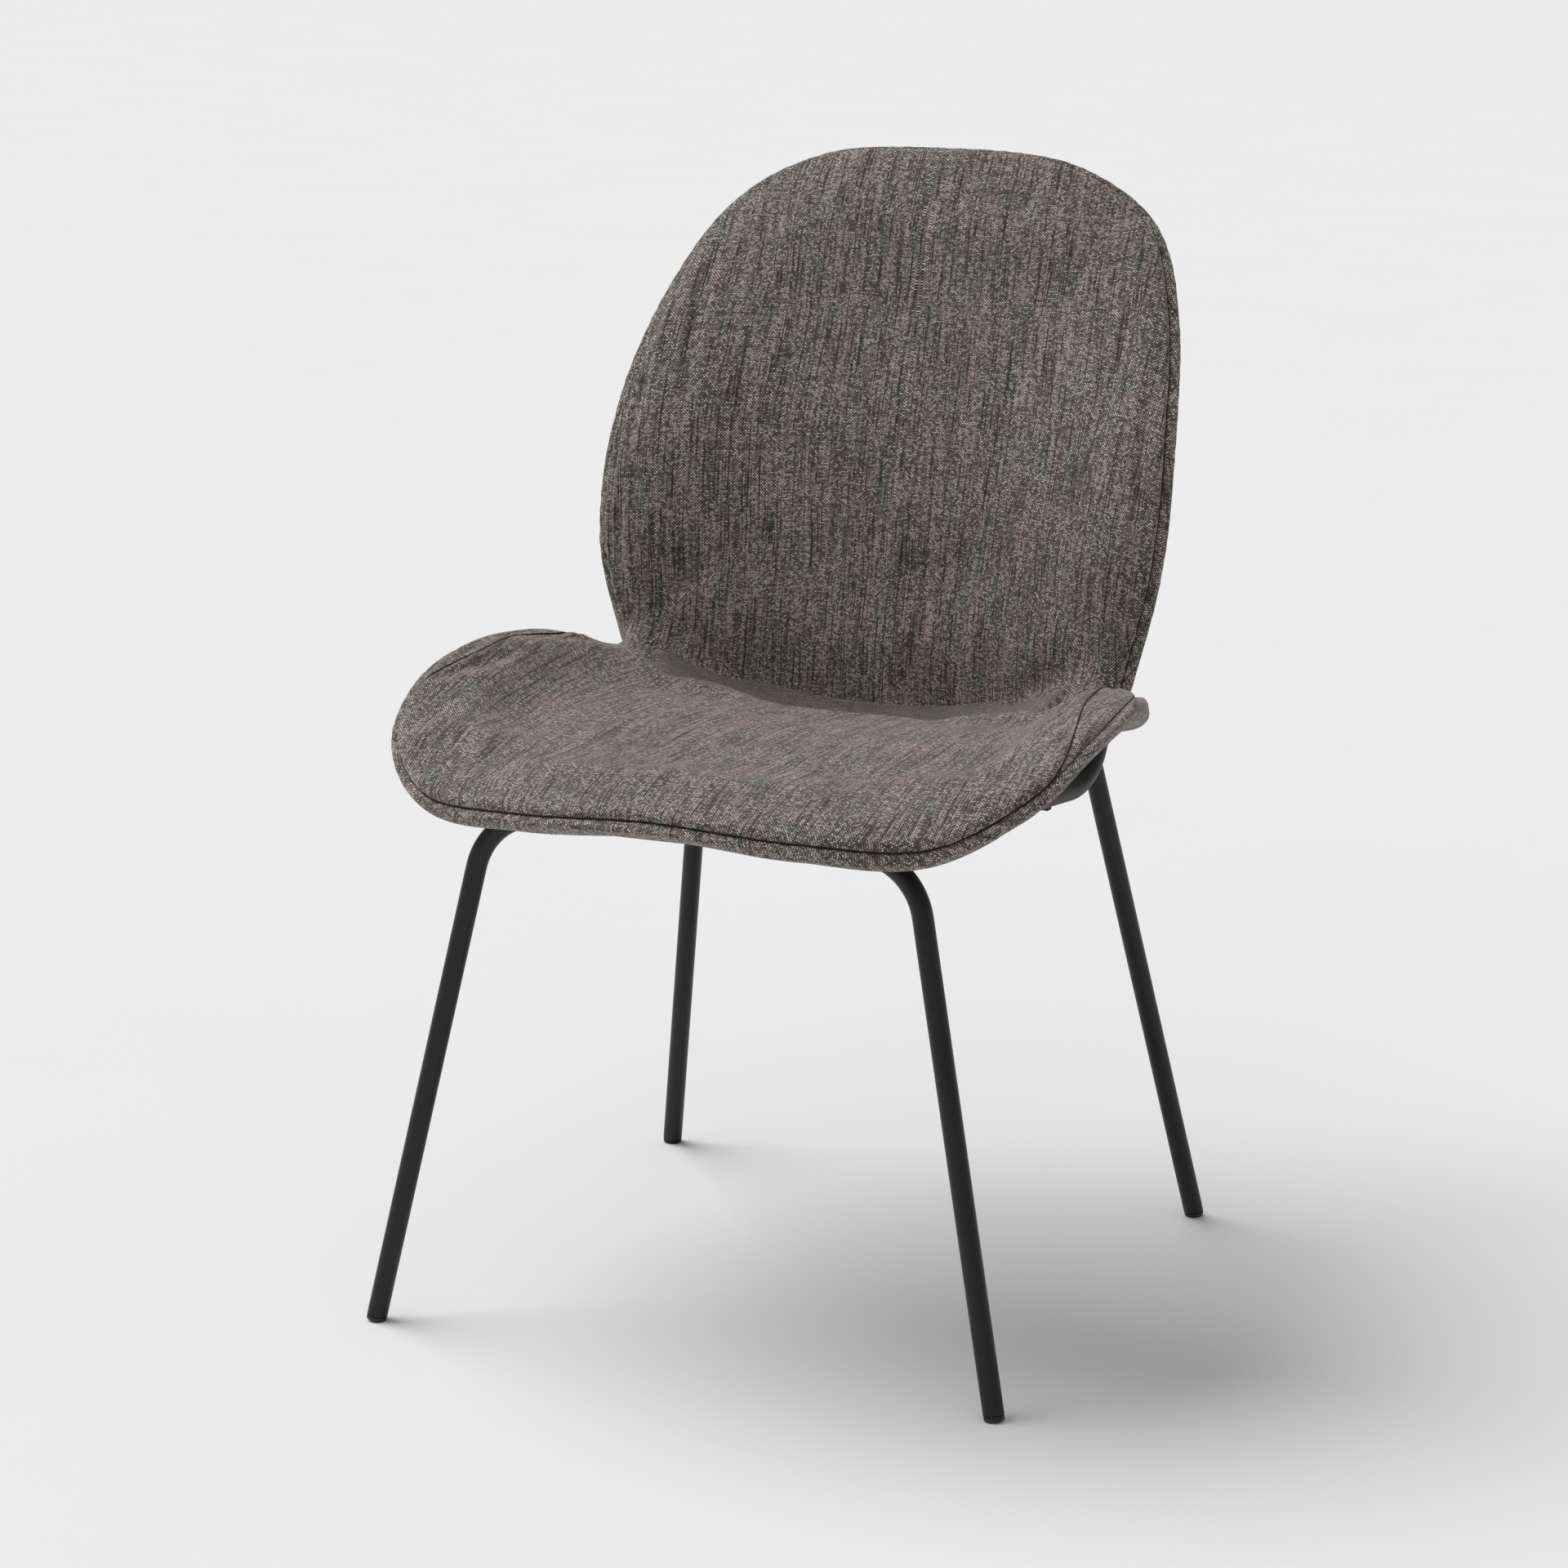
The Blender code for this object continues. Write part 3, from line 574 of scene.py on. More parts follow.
def weave_material(name):
    """Heathered tweed. The mesh's weave layer gives the place in the cloth: across the warp, along it."""
    n = Nodes(name)
    place = wandering(n, n.add("ShaderNodeAttribute", attribute_name="weave").outputs["Vector"])
    parts = n.add("ShaderNodeSeparateXYZ", {0: place}).outputs
    across, along = (n.math("DIVIDE", parts[k], THREAD) for k in (0, 1))
    crown, chance = twill(n, across, along)

    # Each thread's own tone, which drifts along it, and uneven yarns with dark gaps
    warp_tone = n.streaks(n.pair(n.math("FLOOR", across), along), 7.31, 0.022)
    weft_tone = n.streaks(n.pair(across, n.math("FLOOR", along)), 0.030, 5.17)
    slub_dark = n.span(n.streaks(place, 520.0, 13.0), 0.57, 0.69)
    cross_dark = n.span(n.streaks(place, 10.0, 420.0), 0.60, 0.73)
    wide_slub = n.streaks(place, 110.0, 5.0, 3.0, 0.55)
    fuzz = n.streaks(place, 2600.0, 2600.0)

    # Colour
    shade = n.span(chance["Value"], 0.0, 1.0, 0.50, 1.75)
    shade = n.times(shade, n.span(wide_slub, 0.3, 0.7, 1.14, 0.84))
    shade = n.times(shade, n.span(warp_tone, 0.25, 0.75, 0.58, 1.44))
    shade = n.times(shade, n.span(weft_tone, 0.25, 0.75, 0.84, 1.18))
    yarn = n.mix(n.span(n.streaks(place, 60.0, 22.0, 3.0), 0.38, 0.62), MAUVE_YARN, OLIVE_YARN)
    shade = n.add("ShaderNodeCombineColor", {0: shade, 1: shade, 2: shade}).outputs[0]
    yarn = n.mix(1.0, yarn, shade, "MULTIPLY")
    pale_chance = n.add("ShaderNodeSeparateColor", {0: chance["Color"]}).outputs[1]
    yarn = n.mix(n.times(n.span(pale_chance, 0.72, 0.93), 0.72), yarn, PALE_YARN)
    for dark in (
        n.span(crown, 0.14, 0.78, 0.97, 0.0),
        n.times(slub_dark, 0.72),
        n.times(cross_dark, 0.35),
        n.span(warp_tone, 0.29, 0.36, 0.62, 0.0),
    ):
        yarn = n.mix(dark, yarn, DARK_YARN)
    n.connect("Base Color", n.mix(n.span(fuzz, 0.45, 0.8, 0.0, 0.12), yarn, MAUVE_YARN))

    # Relief
    height = n.math("ADD", crown, n.times(chance["Value"], 0.45))
    height = n.math("SUBTRACT", height, n.times(slub_dark, 0.9))
    height = n.math("SUBTRACT", height, n.times(cross_dark, 0.5))
    height = n.math("ADD", height, n.times(fuzz, 0.4))
    n.connect("Normal", n.bump(height, RELIEF, 0.6))
    n.connect("Roughness", n.span(chance["Value"], 0, 1, 0.84, 0.98))
    n.connect("Specular IOR Level", 0.22)
    n.connect("Sheen Weight", 0.42)
    n.connect("Sheen Roughness", 0.42)
    n.connect("Sheen Tint", SHEEN_TINT)
    return n.material


def powder_coat_material(name, colour):
    """Satin black powder coat: fine orange peel, faint dust and slightly rubbed high spots."""
    n = Nodes(name)
    place = n.add("ShaderNodeTexCoord").outputs["Object"]
    peel = n.noise(place, 950.0, 2.0, 0.5)
    grain = n.noise(place, 3200.0, 2.0, 0.6)
    patch = n.noise(place, 14.0, 4.0, 0.6)
    dust = n.span(n.noise(place, 260.0, 3.0, 0.65), 0.60, 0.78)
    base = n.mix(n.span(patch, 0.35, 0.7), grey(colour), grey(colour * 1.7))
    base = n.mix(n.times(dust, 0.10), base, grey(0.09))
    n.connect("Base Color", base)
    n.connect("Roughness", n.span(patch, 0.3, 0.7, 0.34, 0.46))
    n.connect("Specular IOR Level", 0.36)
    height = n.math("ADD", peel, n.times(grain, 0.35))
    n.connect("Normal", n.bump(height, 0.00012, 0.55))
    return n.material


def moulded_material(name, colour, roughness):
    """Moulded nylon: fine sandy grain, with faint scuffs."""
    n = Nodes(name)
    place = n.add("ShaderNodeTexCoord").outputs["Object"]
    grain = n.noise(place, 1800.0, 2.0, 0.6)
    scuff = n.span(n.noise(place, 120.0, 5.0, 0.7), 0.58, 0.72)
    n.connect("Base Color", n.mix(n.times(scuff, 0.35), grey(colour), grey(colour * 2.6 + 0.01)))
    n.connect("Roughness", n.math("ADD", n.times(scuff, 0.12), roughness))
    n.connect("Normal", n.bump(grain, 0.0001, 0.5))
    return n.material


def plated_material(name, colour, roughness):
    """Plated or turned metal with fine tool marks."""
    n = Nodes(name)
    place = n.add("ShaderNodeTexCoord").outputs["Object"]
    marks = n.noise(n.vector("MULTIPLY", {0: place, 1: (1.0, 1.0, 12.0)}), 900.0, 2.0, 0.5)
    cloud = n.noise(place, 90.0, 3.0, 0.6)
    dull = tuple(c * 0.62 for c in colour)
    n.connect("Base Color", n.mix(n.span(cloud, 0.3, 0.7), (*colour, 1.0), (*dull, 1.0)))
    n.connect("Metallic", 1.0)
    n.connect("Roughness", n.span(cloud, 0.3, 0.7, roughness, roughness + 0.15))
    n.connect("Normal", n.bump(marks, 0.00006, 0.4))
    return n.material


def seam_shadow_material(name):
    """A near-black seam thread between two panels, whose colour is painted shadow in the seam's gap."""
    n = Nodes(name)
    place = n.add("ShaderNodeTexCoord").outputs["Object"]
    twist = n.noise(place, 2200.0, 2.0, 0.6)
    n.connect("Base Color", n.mix(twist, (0.006, 0.005, 0.005, 1.0), (0.022, 0.019, 0.018, 1.0)))
    n.connect("Roughness", 0.95)
    n.connect("Normal", n.bump(twist, 0.0003, 0.7))
    return n.material


def floor_material(name):
    """Matt pale studio floor with a barely visible mottle."""
    n = Nodes(name)
    place = n.add("ShaderNodeTexCoord").outputs["Object"]
    mottle = n.noise(place, 3.0, 4.0, 0.5)
    n.connect("Base Color", n.mix(mottle, grey(0.835), grey(0.85)))
    n.connect("Roughness", 0.9)
    n.connect("Specular IOR Level", 0.1)
    return n.material


WEAVE = weave_material("grey_tweed")
POWDER = powder_coat_material("black_powder_coat", 0.0065)
NYLON = moulded_material("black_nylon", 0.014, 0.5)
SHELL = moulded_material("moulded_shell", 0.03, 0.45)
BRASS = plated_material("turned_brass", (0.62, 0.45, 0.18), 0.3)
ZINC = plated_material("zinc_plate", (0.46, 0.46, 0.47), 0.32)
OXIDE = plated_material("black_oxide", (0.035, 0.035, 0.038), 0.38)
# The seam cords' near-black colour: painted shadow in the seams' gaps.
SEAM_SHADOW = seam_shadow_material("painted_seam_shadow")


# ---------------------------------------------------------------- upholstery


def profile(points, count, power=1.6):
    """(distance in, height) at count places that are closest together at the seam."""
    dense = through([(*point, 0) for point in points], 400)
    share = np.linspace(0, 1, count) ** power
    return np.stack([np.interp(share * 399, np.arange(400), dense[:, k]) for k in (0, 1)], axis=1)


def waves(along, period, seed):
    """An uneven ripple between about -1 and 1 along a length."""
    total = np.zeros_like(along)
    for k in range(5):
        stretch = 0.6 + 0.8 * ((seed * 0.618 + k * 0.379) % 1)
        total += np.sin(2 * math.pi * (along / (period * stretch) + (seed * 0.37 + k * 0.731) % 1))
    return total / 3


def fold_frame():
    """Where seat and back meet, the direction half-way between their faces, and its cosine to each."""
    seat_normal = SEAT.normals(SEAT.shares(0.0))
    back_normal = BACK.normals(BACK.shares(0.0))
    middle = unit(seat_normal + back_normal)
    base = (SEAT.at(SEAT.shares(0.0)) + BACK.at(BACK.shares(0.0))) / 2
    return base, middle, (middle * seat_normal).sum(1)


FOLD_BASE, FOLD_MIDDLE, FOLD_COSINE = fold_frame()
IN_FOLD = SEAT.on_crease.copy()
IN_FOLD[[0, RIM_COLUMNS - 1]] = True


def dish_dip(surface, share):
    """How much thinner the seat's pad is below its raised wings, so that they stand out from the dish."""
    if surface is BACK:
        return 0 * share
    rise = SEAT.outline[:, 2] - line_at(SEAT_LINE, SEAT.outline[:, 1])
    return DISH_DIP * eased(rise / WING_RISE) * np.exp(-(((share - DISH_AT) / DISH_WIDTH) ** 2))


def fold_depth():
    """How far the fold is sunk, as a share of the pad's thickness, for each column."""
    far = eased(SEAT.from_notch / FOLD_FADE)
    return FOLD_DEPTH * far + FOLD_DEPTH_AT_NOTCH * (1 - far)


def pad_rings(surface, thickness):
    """Top rings of a pad from the seam to near the centre. thickness scales the height for each column."""
    edge = profile(PAD_AT_RIM, EDGE_RINGS)
    weight = surface.weight
    deepened = fold_depth()
    rings = []
    for distance, height in edge:
        inset = weight * distance + (1 - weight) * FOLD_SHARE * height
        share = surface.shares(inset)
        top = height * (1 + (thickness - 1) * height / PAD_THICKNESS) - dish_dip(surface, share)
        points = surface.ring(inset, top)
        folded = FOLD_BASE + FOLD_MIDDLE * (height * (1 - deepened) / FOLD_COSINE)[:, None]
        points[IN_FOLD] = folded[IN_FOLD]
        rings.append(points)
    last = surface.shares(weight * edge[-1][0] + (1 - weight) * FOLD_SHARE * edge[-1][1])
    for k in range(1, INNER_RINGS + 1):
        share = last + (GRID_SHARE - last) * k / INNER_RINGS
        height = PAD_THICKNESS * (1 + (thickness - 1) * ((share - GRID_SHARE) / (last - GRID_SHARE)) ** 2)
        from_fold = (last - share) * surface.reach
        height = height - PAD_THICKNESS * deepened * IN_FOLD * np.exp(-((from_fold / FOLD_WIDTH) ** 2))
        height = height - dish_dip(surface, share)
        rings.append(surface.at(share) + surface.normals(share) * height[:, None])
    return rings


def cover_rings(surface):
    """Outer rings of a rear or under cover from the seam to near the centre."""
    at_rim = profile(COVER_AT_RIM, COVER_RINGS)
    at_crease = profile(COVER_AT_CREASE, COVER_RINGS)
    weight = surface.weight
    rings = []
    for (rim_in, rim_depth), (crease_in, crease_depth) in zip(at_rim, at_crease):
        inset = weight * rim_in + (1 - weight) * crease_in
        rings.append(surface.ring(inset, -(weight * rim_depth + (1 - weight) * crease_depth)))
    last = surface.shares(weight * at_rim[-1][0] + (1 - weight) * at_crease[-1][0])
    return rings + inner_rings(surface, last, -COVER_THICKNESS, INNER_RINGS)


def inner_rings(surface, start, height, count):
    rings = []
    for k in range(1, count + 1):
        share = start + (GRID_SHARE - start) * k / count
        rings.append(surface.at(share) + surface.normals(share) * height)
    return rings


def cloth_places(surface, rings, offset):
    """Where each ring's points lie in the cloth, by length along each ray from the centre."""
    flat = surface.outline - surface.centre()
    up = 1 if surface is SEAT else 2
    heading = np.arctan2(flat[:, up], flat[:, 0])
    steps = np.linalg.norm(np.diff(np.array(rings), axis=0), axis=2)
    facing = unit(np.array(surface.facing))
    spoke = rings[-1] - surface.centre()
    start = np.linalg.norm(spoke - (spoke @ facing)[:, None] * facing, axis=1)
    reach = start + np.concatenate([np.cumsum(steps[::-1], axis=0)[::-1], np.zeros((1, steps.shape[1]))])
    return [
        np.stack([np.cos(heading) * radius, np.sin(heading) * radius + offset, 0 * radius], axis=1)
        for radius in reach
    ]


def seam_places(surface, rings, side):
    """For each ring: length from the seam, length along the outline, and side (0 seat, 1 back)."""
    steps = np.linalg.norm(np.diff(np.array(rings), axis=0), axis=2)
    reach = np.concatenate([np.zeros((1, steps.shape[1])), np.cumsum(steps, axis=0)])
    return [np.stack([radius, surface.along, 0 * radius + side], axis=1) for radius in reach]


def patch(border):
    """Coons patch: the inner points of a square grid whose border is a closed ring of COLUMNS values."""
    size = COLUMNS // 4
    steps = np.arange(size + 1)
    places = (steps, size + steps, 3 * size - steps, 4 * size - steps)
    low, high_u, high, low_u = (border[(GRID_START + k) % COLUMNS] for k in places)
    u = (steps / size)[None, 1:-1, None]
    v = (steps / size)[1:-1, None, None]
    filled = (1 - v) * low[None, 1:-1] + v * high[None, 1:-1]
    filled = filled + (1 - u) * low_u[1:-1, None] + u * high_u[1:-1, None]
    filled -= (1 - u) * (1 - v) * low[0] + u * (1 - v) * low[-1] + (1 - u) * v * high[0] + u * v * high[-1]
    return filled.reshape(-1, border.shape[1])


class Sheets:
    """Collects rings of COLUMNS points, joins them with quads, and closes them at their centres."""

    def __init__(self):
        self.points, self.faces, self.weave, self.place, self.jump = [], [], [], [], []

    def rings(self, rings, weave, place, jump, skip=()):
        """Adds rings, joined where skip doesn't hold a column. Returns the index of the first point."""
        first = len(self.points)
        self.points += [*np.vstack(rings)]
        self.weave += [*np.vstack(weave)]
        self.place += [*np.vstack(place)]
        self.jump += [*np.tile(jump, (len(rings), 1))]
        for k in range(len(rings) - 1):
            for i in range(COLUMNS):
                if k < EDGE_RINGS - 1 and i in skip:
                    continue
                self.join(first + k * COLUMNS, first + (k + 1) * COLUMNS, i)
        return first

    def join(self, outer, inner, i):
        j = (i + 1) % COLUMNS
        self.faces.append((outer + i, outer + j, inner + j, inner + i))

    def join_rings(self, outer, inner):
        for i in range(COLUMNS):
            self.join(outer, inner, i)

    def close(self, ring):
        """Fills the last ring, which starts at this point, with a square grid of quads."""
        first = len(self.points)
        size = COLUMNS // 4
        own = slice(ring, ring + COLUMNS)
        for values in (self.points, self.weave, self.place, self.jump):
            values += [*patch(np.array(values[own]))]

        def index(i, j):
            if j == 0:
                return ring + (GRID_START + i) % COLUMNS
            if i == size:
                return ring + (GRID_START + size + j) % COLUMNS
            if j == size:
                return ring + (GRID_START + 3 * size - i) % COLUMNS
            if i == 0:
                return ring + (GRID_START + 4 * size - j) % COLUMNS
            return first + (j - 1) * (size - 1) + i - 1

        for j in range(size):
            for i in range(size):
                self.faces.append((index(i, j), index(i + 1, j), index(i + 1, j + 1), index(i, j + 1)))

    def make(self, name):
        obj = mesh_object(name, self.points, self.faces, WEAVE)
        value_layer(obj, "weave", self.weave)
        value_layer(obj, "place", self.place)
        value_layer(obj, "jump", self.jump)
        return obj


NO_JUMP = np.zeros((COLUMNS, 3))


def add_face_sheet(sheets, surface, rings, side, jump=NO_JUMP, skip=()):
    """A visible sheet of cloth, from the seam to its centre."""
    weave = cloth_places(surface, rings, WARP_OFFSETS[side])
    place = seam_places(surface, rings, side)
    first = sheets.rings(rings, weave, place, jump, skip)
    sheets.close(first + (len(rings) - 1) * COLUMNS)
    return first


def add_hidden_sheet(sheets, outer_ring, rings):
    """The unseen side of a padded piece, from its seam ring to its centre."""
    blank = [np.full((COLUMNS, 3), HIDDEN) for _ in rings]
    first = sheets.rings(rings, blank, blank, NO_JUMP)
    sheets.join_rings(outer_ring, first)
    sheets.close(first + (len(rings) - 1) * COLUMNS)


def inner_cover():
    """The one padded cover over the seat's top and the back's front, folded along the crease."""
    front = np.clip((-SEAT.outline[:, 1] - FRONT_ROLL_FROM) / FRONT_ROLL_OVER, 0, 1)
    near_notch = (1 - eased(SEAT.from_notch / THIN_OVER), 1 - eased(BACK.from_notch / THIN_OVER))
    thickness = {
        SEAT: 1 + FRONT_ROLL * eased(front) * ~SEAT.on_crease - THIN_SEAT * near_notch[0] * ~IN_FOLD,
        BACK: 1 - THIN_BACK * near_notch[1] * ~IN_FOLD,
    }
    open_columns = set(range(RIM_COLUMNS - 1, COLUMNS))
    tops = [pad_rings(surface, thickness[surface]) for surface in (SEAT, BACK)]
    jumps = (NO_JUMP, weave_jump(*tops))
    sheets = Sheets()
    starts = []
    for side, surface in enumerate((SEAT, BACK)):
        first = add_face_sheet(sheets, surface, tops[side], side, jumps[side], open_columns)
        add_hidden_sheet(sheets, first, inner_rings(surface, surface.shares(0.0), 0.0002, HIDDEN_RINGS))
        starts.append(first)
    obj = sheets.make("inner_cover")
    weld_fold(obj, *starts)
    return obj


def weave_jump(seat_top, back_top):
    """How far the weave's place steps from the back's cloth to the seat's, for each column at the fold."""
    at_fold = [
        cloth_places(surface, top, offset)[EDGE_RINGS - 1]
        for surface, top, offset in zip((SEAT, BACK), (seat_top, back_top), WARP_OFFSETS)
    ]
    jump = at_fold[0] - at_fold[1]
    rim = np.arange(RIM_COLUMNS)
    jump[rim] = np.where(rim[:, None] < RIM_COLUMNS / 2, jump[0], jump[RIM_COLUMNS - 1])
    return jump


def split_weave(obj):
    """Stores the weave by face corner, so that at the fold each side keeps its own place in the cloth."""
    weave, jump = read_layer(obj, "weave"), read_layer(obj, "jump")
    back = read_layer(obj, "place")[:, 2] > 0.5
    mesh = obj.data
    corner_point = np.empty(len(mesh.loops), np.int32)
    mesh.loops.foreach_get("vertex_index", corner_point)
    total = np.empty(len(mesh.polygons), np.int32)
    mesh.polygons.foreach_get("loop_total", total)
    corner_face = np.repeat(np.arange(len(total)), total)
    on_back = back[corner_point].astype(float)
    count = np.bincount(corner_face, weights=on_back)
    summed = [np.bincount(corner_face, weights=on_back * jump[corner_point, k]) for k in range(3)]
    face_jump = np.stack(summed, axis=1) / np.maximum(count, 1)[:, None]
    crossing = (on_back == 0) & (count[corner_face] > 0) & (weave[corner_point, 2] == 0)
    own = weave[corner_point] - face_jump[corner_face] * crossing[:, None]
    mesh.attributes.remove(mesh.attributes["weave"])
    layer = mesh.attributes.new("weave", "FLOAT_VECTOR", "CORNER")
    layer.data.foreach_set("vector", own.astype(np.float32).ravel())


def weld_fold(obj, seat_start, back_start):
    """Joins seat and back along the crease, and drops the points that no face uses."""
    made = bmesh.new()
    made.from_mesh(obj.data)
    made.verts.ensure_lookup_table()
    targets = {
        made.verts[back_start + k * COLUMNS + i]: made.verts[seat_start + k * COLUMNS + i]
        for k in range(EDGE_RINGS)
        for i in np.flatnonzero(IN_FOLD)
    }
    bmesh.ops.weld_verts(made, targetmap=targets)
    loose = [vert for vert in made.verts if not vert.link_faces]
    bmesh.ops.delete(made, geom=loose, context="VERTS")
    bmesh.ops.recalc_face_normals(made, faces=made.faces)
    made.to_mesh(obj.data)
    made.free()


def outer_cover(surface, name, side):
    """Padded rear or under cover: a tray round the shell's edge and over its far side."""
    sheets = Sheets()
    first = add_face_sheet(sheets, surface, cover_rings(surface), side)
    wall = [surface.ring(SHELL_GROOVE, -0.0002), surface.ring(SHELL_GROOVE, -SHELL_FLOOR)]
    floor = inner_rings(surface, surface.shares(SHELL_GROOVE), -SHELL_FLOOR, HIDDEN_RINGS)
    add_hidden_sheet(sheets, first, wall + floor)
    return sheets.make(name)


def nearness(distance, centre, width):
    return np.exp(-(((distance - centre) / width) ** 2))


def swell(obj, pressure, held, most):
    """Inflates a closed piece as cloth. held is 1 where a point stays, and most is how far each may move."""
    group = obj.vertex_groups.new(name="held")
    for weight in np.unique(np.round(held, 1)):
        if weight > 0:
            group.add(np.flatnonzero(np.round(held, 1) == weight).tolist(), float(weight), "REPLACE")
    modifier = obj.modifiers.new("cloth", "CLOTH")
    settings = modifier.settings
    settings.quality = 5
    settings.mass = 0.3
    settings.tension_stiffness = 12
    settings.compression_stiffness = 12
    settings.bending_stiffness = 0.6
    settings.use_pressure = True
    settings.uniform_pressure_force = pressure
    settings.vertex_group_mass = "held"
    settings.effector_weights.gravity = 0
    modifier.point_cache.frame_start = 1
    modifier.point_cache.frame_end = CLOTH_FRAMES
    modifier.collision_settings.use_collision = False
    before = points_of(obj)
    scene = bpy.context.scene
    for frame_number in range(1, CLOTH_FRAMES + 1):
        scene.frame_set(frame_number)
    apply_modifiers(obj)
    scene.frame_set(1)
    moved = points_of(obj) - before
    length = np.linalg.norm(moved, axis=1)
    moved *= (np.minimum(length, most) / np.maximum(length, 1e-9))[:, None]
    set_points(obj, before + moved)
    obj.vertex_groups.clear()


def seam_lift(along):
    """How far in from the seat's outline the seam runs: up over the wings, and back down at the front."""
    total = SEAT.along[RIM_COLUMNS - 1]
    run = np.minimum(along, total - along)
    up = eased((run - SEAM_LIFT_FROM) / (SEAM_LIFT_FULL - SEAM_LIFT_FROM))
    down = 1 - eased((run - SEAM_LIFT_KEPT) / (SEAM_LIFT_TO - SEAM_LIFT_KEPT))
    return SEAM_LIFT * up * down * (run > 0)


def press_seam(obj, away, along, seen, ridge, valley, seed):
    """Seam allowance under the cloth: a groove at the seam, a soft ridge beside it and a shallow valley."""
    points = points_of(obj)
    normals = normals_of(obj)
    uneven = 1 + 0.35 * waves(along, 0.11, seed)
    lift = ridge * nearness(away, RIDGE_AT, RIDGE_WIDTH) * uneven
    lift -= valley * nearness(away, VALLEY_AT, VALLEY_WIDTH) * (2 - uneven)
    lift += RIPPLE * waves(along, 0.017, seed + 1) * nearness(away, 0.006, 0.008)
    set_points(obj, points + normals * (lift * seen)[:, None])


def draw_in_seam(obj, away, seen, surfaces):
    """Turns both edges of a seam inwards, so that the cord lies in a groove."""
    points = points_of(obj)
    inward = surfaces - points
    inward = unit(inward) * (SEAM_DEPTH * np.exp(-((away / SEAM_WIDTH) ** 2)) * seen)[:, None]
    set_points(obj, points + inward)


def seam_side(obj):
    """For each point: length from the seam, length along the outline, 1 if it is in the visible cloth."""
    place = read_layer(obj, "place")
    return place[:, 0], place[:, 1], np.where(place[:, 0] < -0.5, 0.0, 1.0), place[:, 2]


def from_notches(points):
    notch = np.array(NOTCH)
    gaps = [np.linalg.norm(points - notch * (side, 1, 1), axis=1) for side in (1, -1)]
    return np.minimum(*gaps)


def seam_targets(points, side):
    """Towards the shell, inside the seam: where the two panels' edges turn in."""
    target = np.empty_like(points)
    for which, surface in enumerate((SEAT, BACK)):
        chosen = side < 0.5 if which == 0 else side >= 0.5
        if chosen.any():
            target[chosen] = surface.centre()
    return target


def dress_inner_cover():
    obj = inner_cover()
    away, _, seen, _ = seam_side(obj)
    fold = near_fold(points_of(obj))
    free = seen * np.clip((away - FREE_FROM) / FREE_OVER, 0, 1)
    crisp = eased(from_notches(points_of(obj)) / FOLD_SOFT_OVER)
    relax(obj, 0.5 * free * (1 - 0.97 * crisp * nearness(fold, 0, 0.006)), 7)
    relax(obj, 0.5 * free * (1 - crisp) * nearness(fold, 0, 0.024), 40)
    held = 1 - free * (1 - 0.6 * nearness(fold, 0, 0.012))
    swell(obj, PAD_PRESSURE, held, PAD_SWELL)
    split_weave(obj)
    subdivide(obj)
    away, along, seen, side = seam_side(obj)
    clear = seen * eased(near_fold(points_of(obj)) / 0.030)
    lifted = away - np.where(side < 0.5, seam_lift(along), 0.0)
    press_seam(obj, lifted, along, clear, *PAD_RIDGE, 3)
    pucker(obj, lifted, along, clear)
    draw_in_seam(obj, lifted, clear, seam_targets(points_of(obj), side))
    # A near-black cord along the seat's seam: painted shadow in the seam's gap.
    seam_shadow_cord("seam_shadow_seat", lifted_seam(obj))
    finish_soft(obj, 0.55, "seat_pad", "back_pad")


def lifted_seam(obj):
    """The seat's seam line on the dressed cover, from notch to notch."""
    points = points_of(obj)
    away, along, seen, side = seam_side(obj)
    own = (seen > 0) & (side < 0.5)
    line = []
    for run in SEAT.along[:RIM_COLUMNS:3]:
        column = np.flatnonzero(own & (np.abs(along - run) < 1e-5))
        column = column[np.argsort(away[column])]
        at = float(seam_lift(np.array(run))) + CORD_INSET * 0.3
        line.append([np.interp(at, away[column], points[column, k]) for k in range(3)])
    return np.array(line)


def near_fold(points):
    """How far each point is from the crease."""
    line = (FOLD_BASE + FOLD_MIDDLE * (PAD_THICKNESS * (1 - fold_depth()) / FOLD_COSINE)[:, None])[IN_FOLD]
    order = np.argsort(line[:, 0])
    line = line[order]
    at_x = np.stack([np.interp(points[:, 0], line[:, 0], line[:, k]) for k in range(3)], axis=1)
    return np.linalg.norm(points - at_x, axis=1)


def pucker(obj, away, along, seen):
    """Short gathers that run in from the seam, strongest near the notches."""
    points = points_of(obj)
    normals = normals_of(obj)
    near = np.exp(-from_notches(points) / PUCKER_OVER)
    lift = (PUCKER + PUCKER_AT_NOTCH * near) * waves(along, 0.021, 7)
    lift *= nearness(away, PUCKER_IN, PUCKER_IN) * seen
    set_points(obj, points + normals * lift[:, None])


def dress_outer_cover(surface, name, side, node, seed):
    obj = outer_cover(surface, name, side)
    away, _, seen, _ = seam_side(obj)
    free = seen * np.clip((away - FREE_FROM) / FREE_OVER, 0, 1)
    relax(obj, 0.5 * free, 6)
    if surface is SEAT:
        fill_band(obj, away, free)
    swell(obj, COVER_PRESSURE, 1 - free, COVER_SWELL)
    subdivide(obj)
    away, along, seen, _ = seam_side(obj)
    clear = seen * eased(np.abs(surface_weight(surface, along)))
    press_seam(obj, away, along, clear, *COVER_RIDGE, seed)
    parallel_folds(obj, away, along, clear, seed)
    if surface is SEAT:
        clear = clear * (1 - 0.85 * seam_lift(along) / SEAM_LIFT)
    draw_in_seam(obj, away, clear, seam_targets(points_of(obj), np.full(len(away), side)))
    finish_soft(obj, 0.4, node)


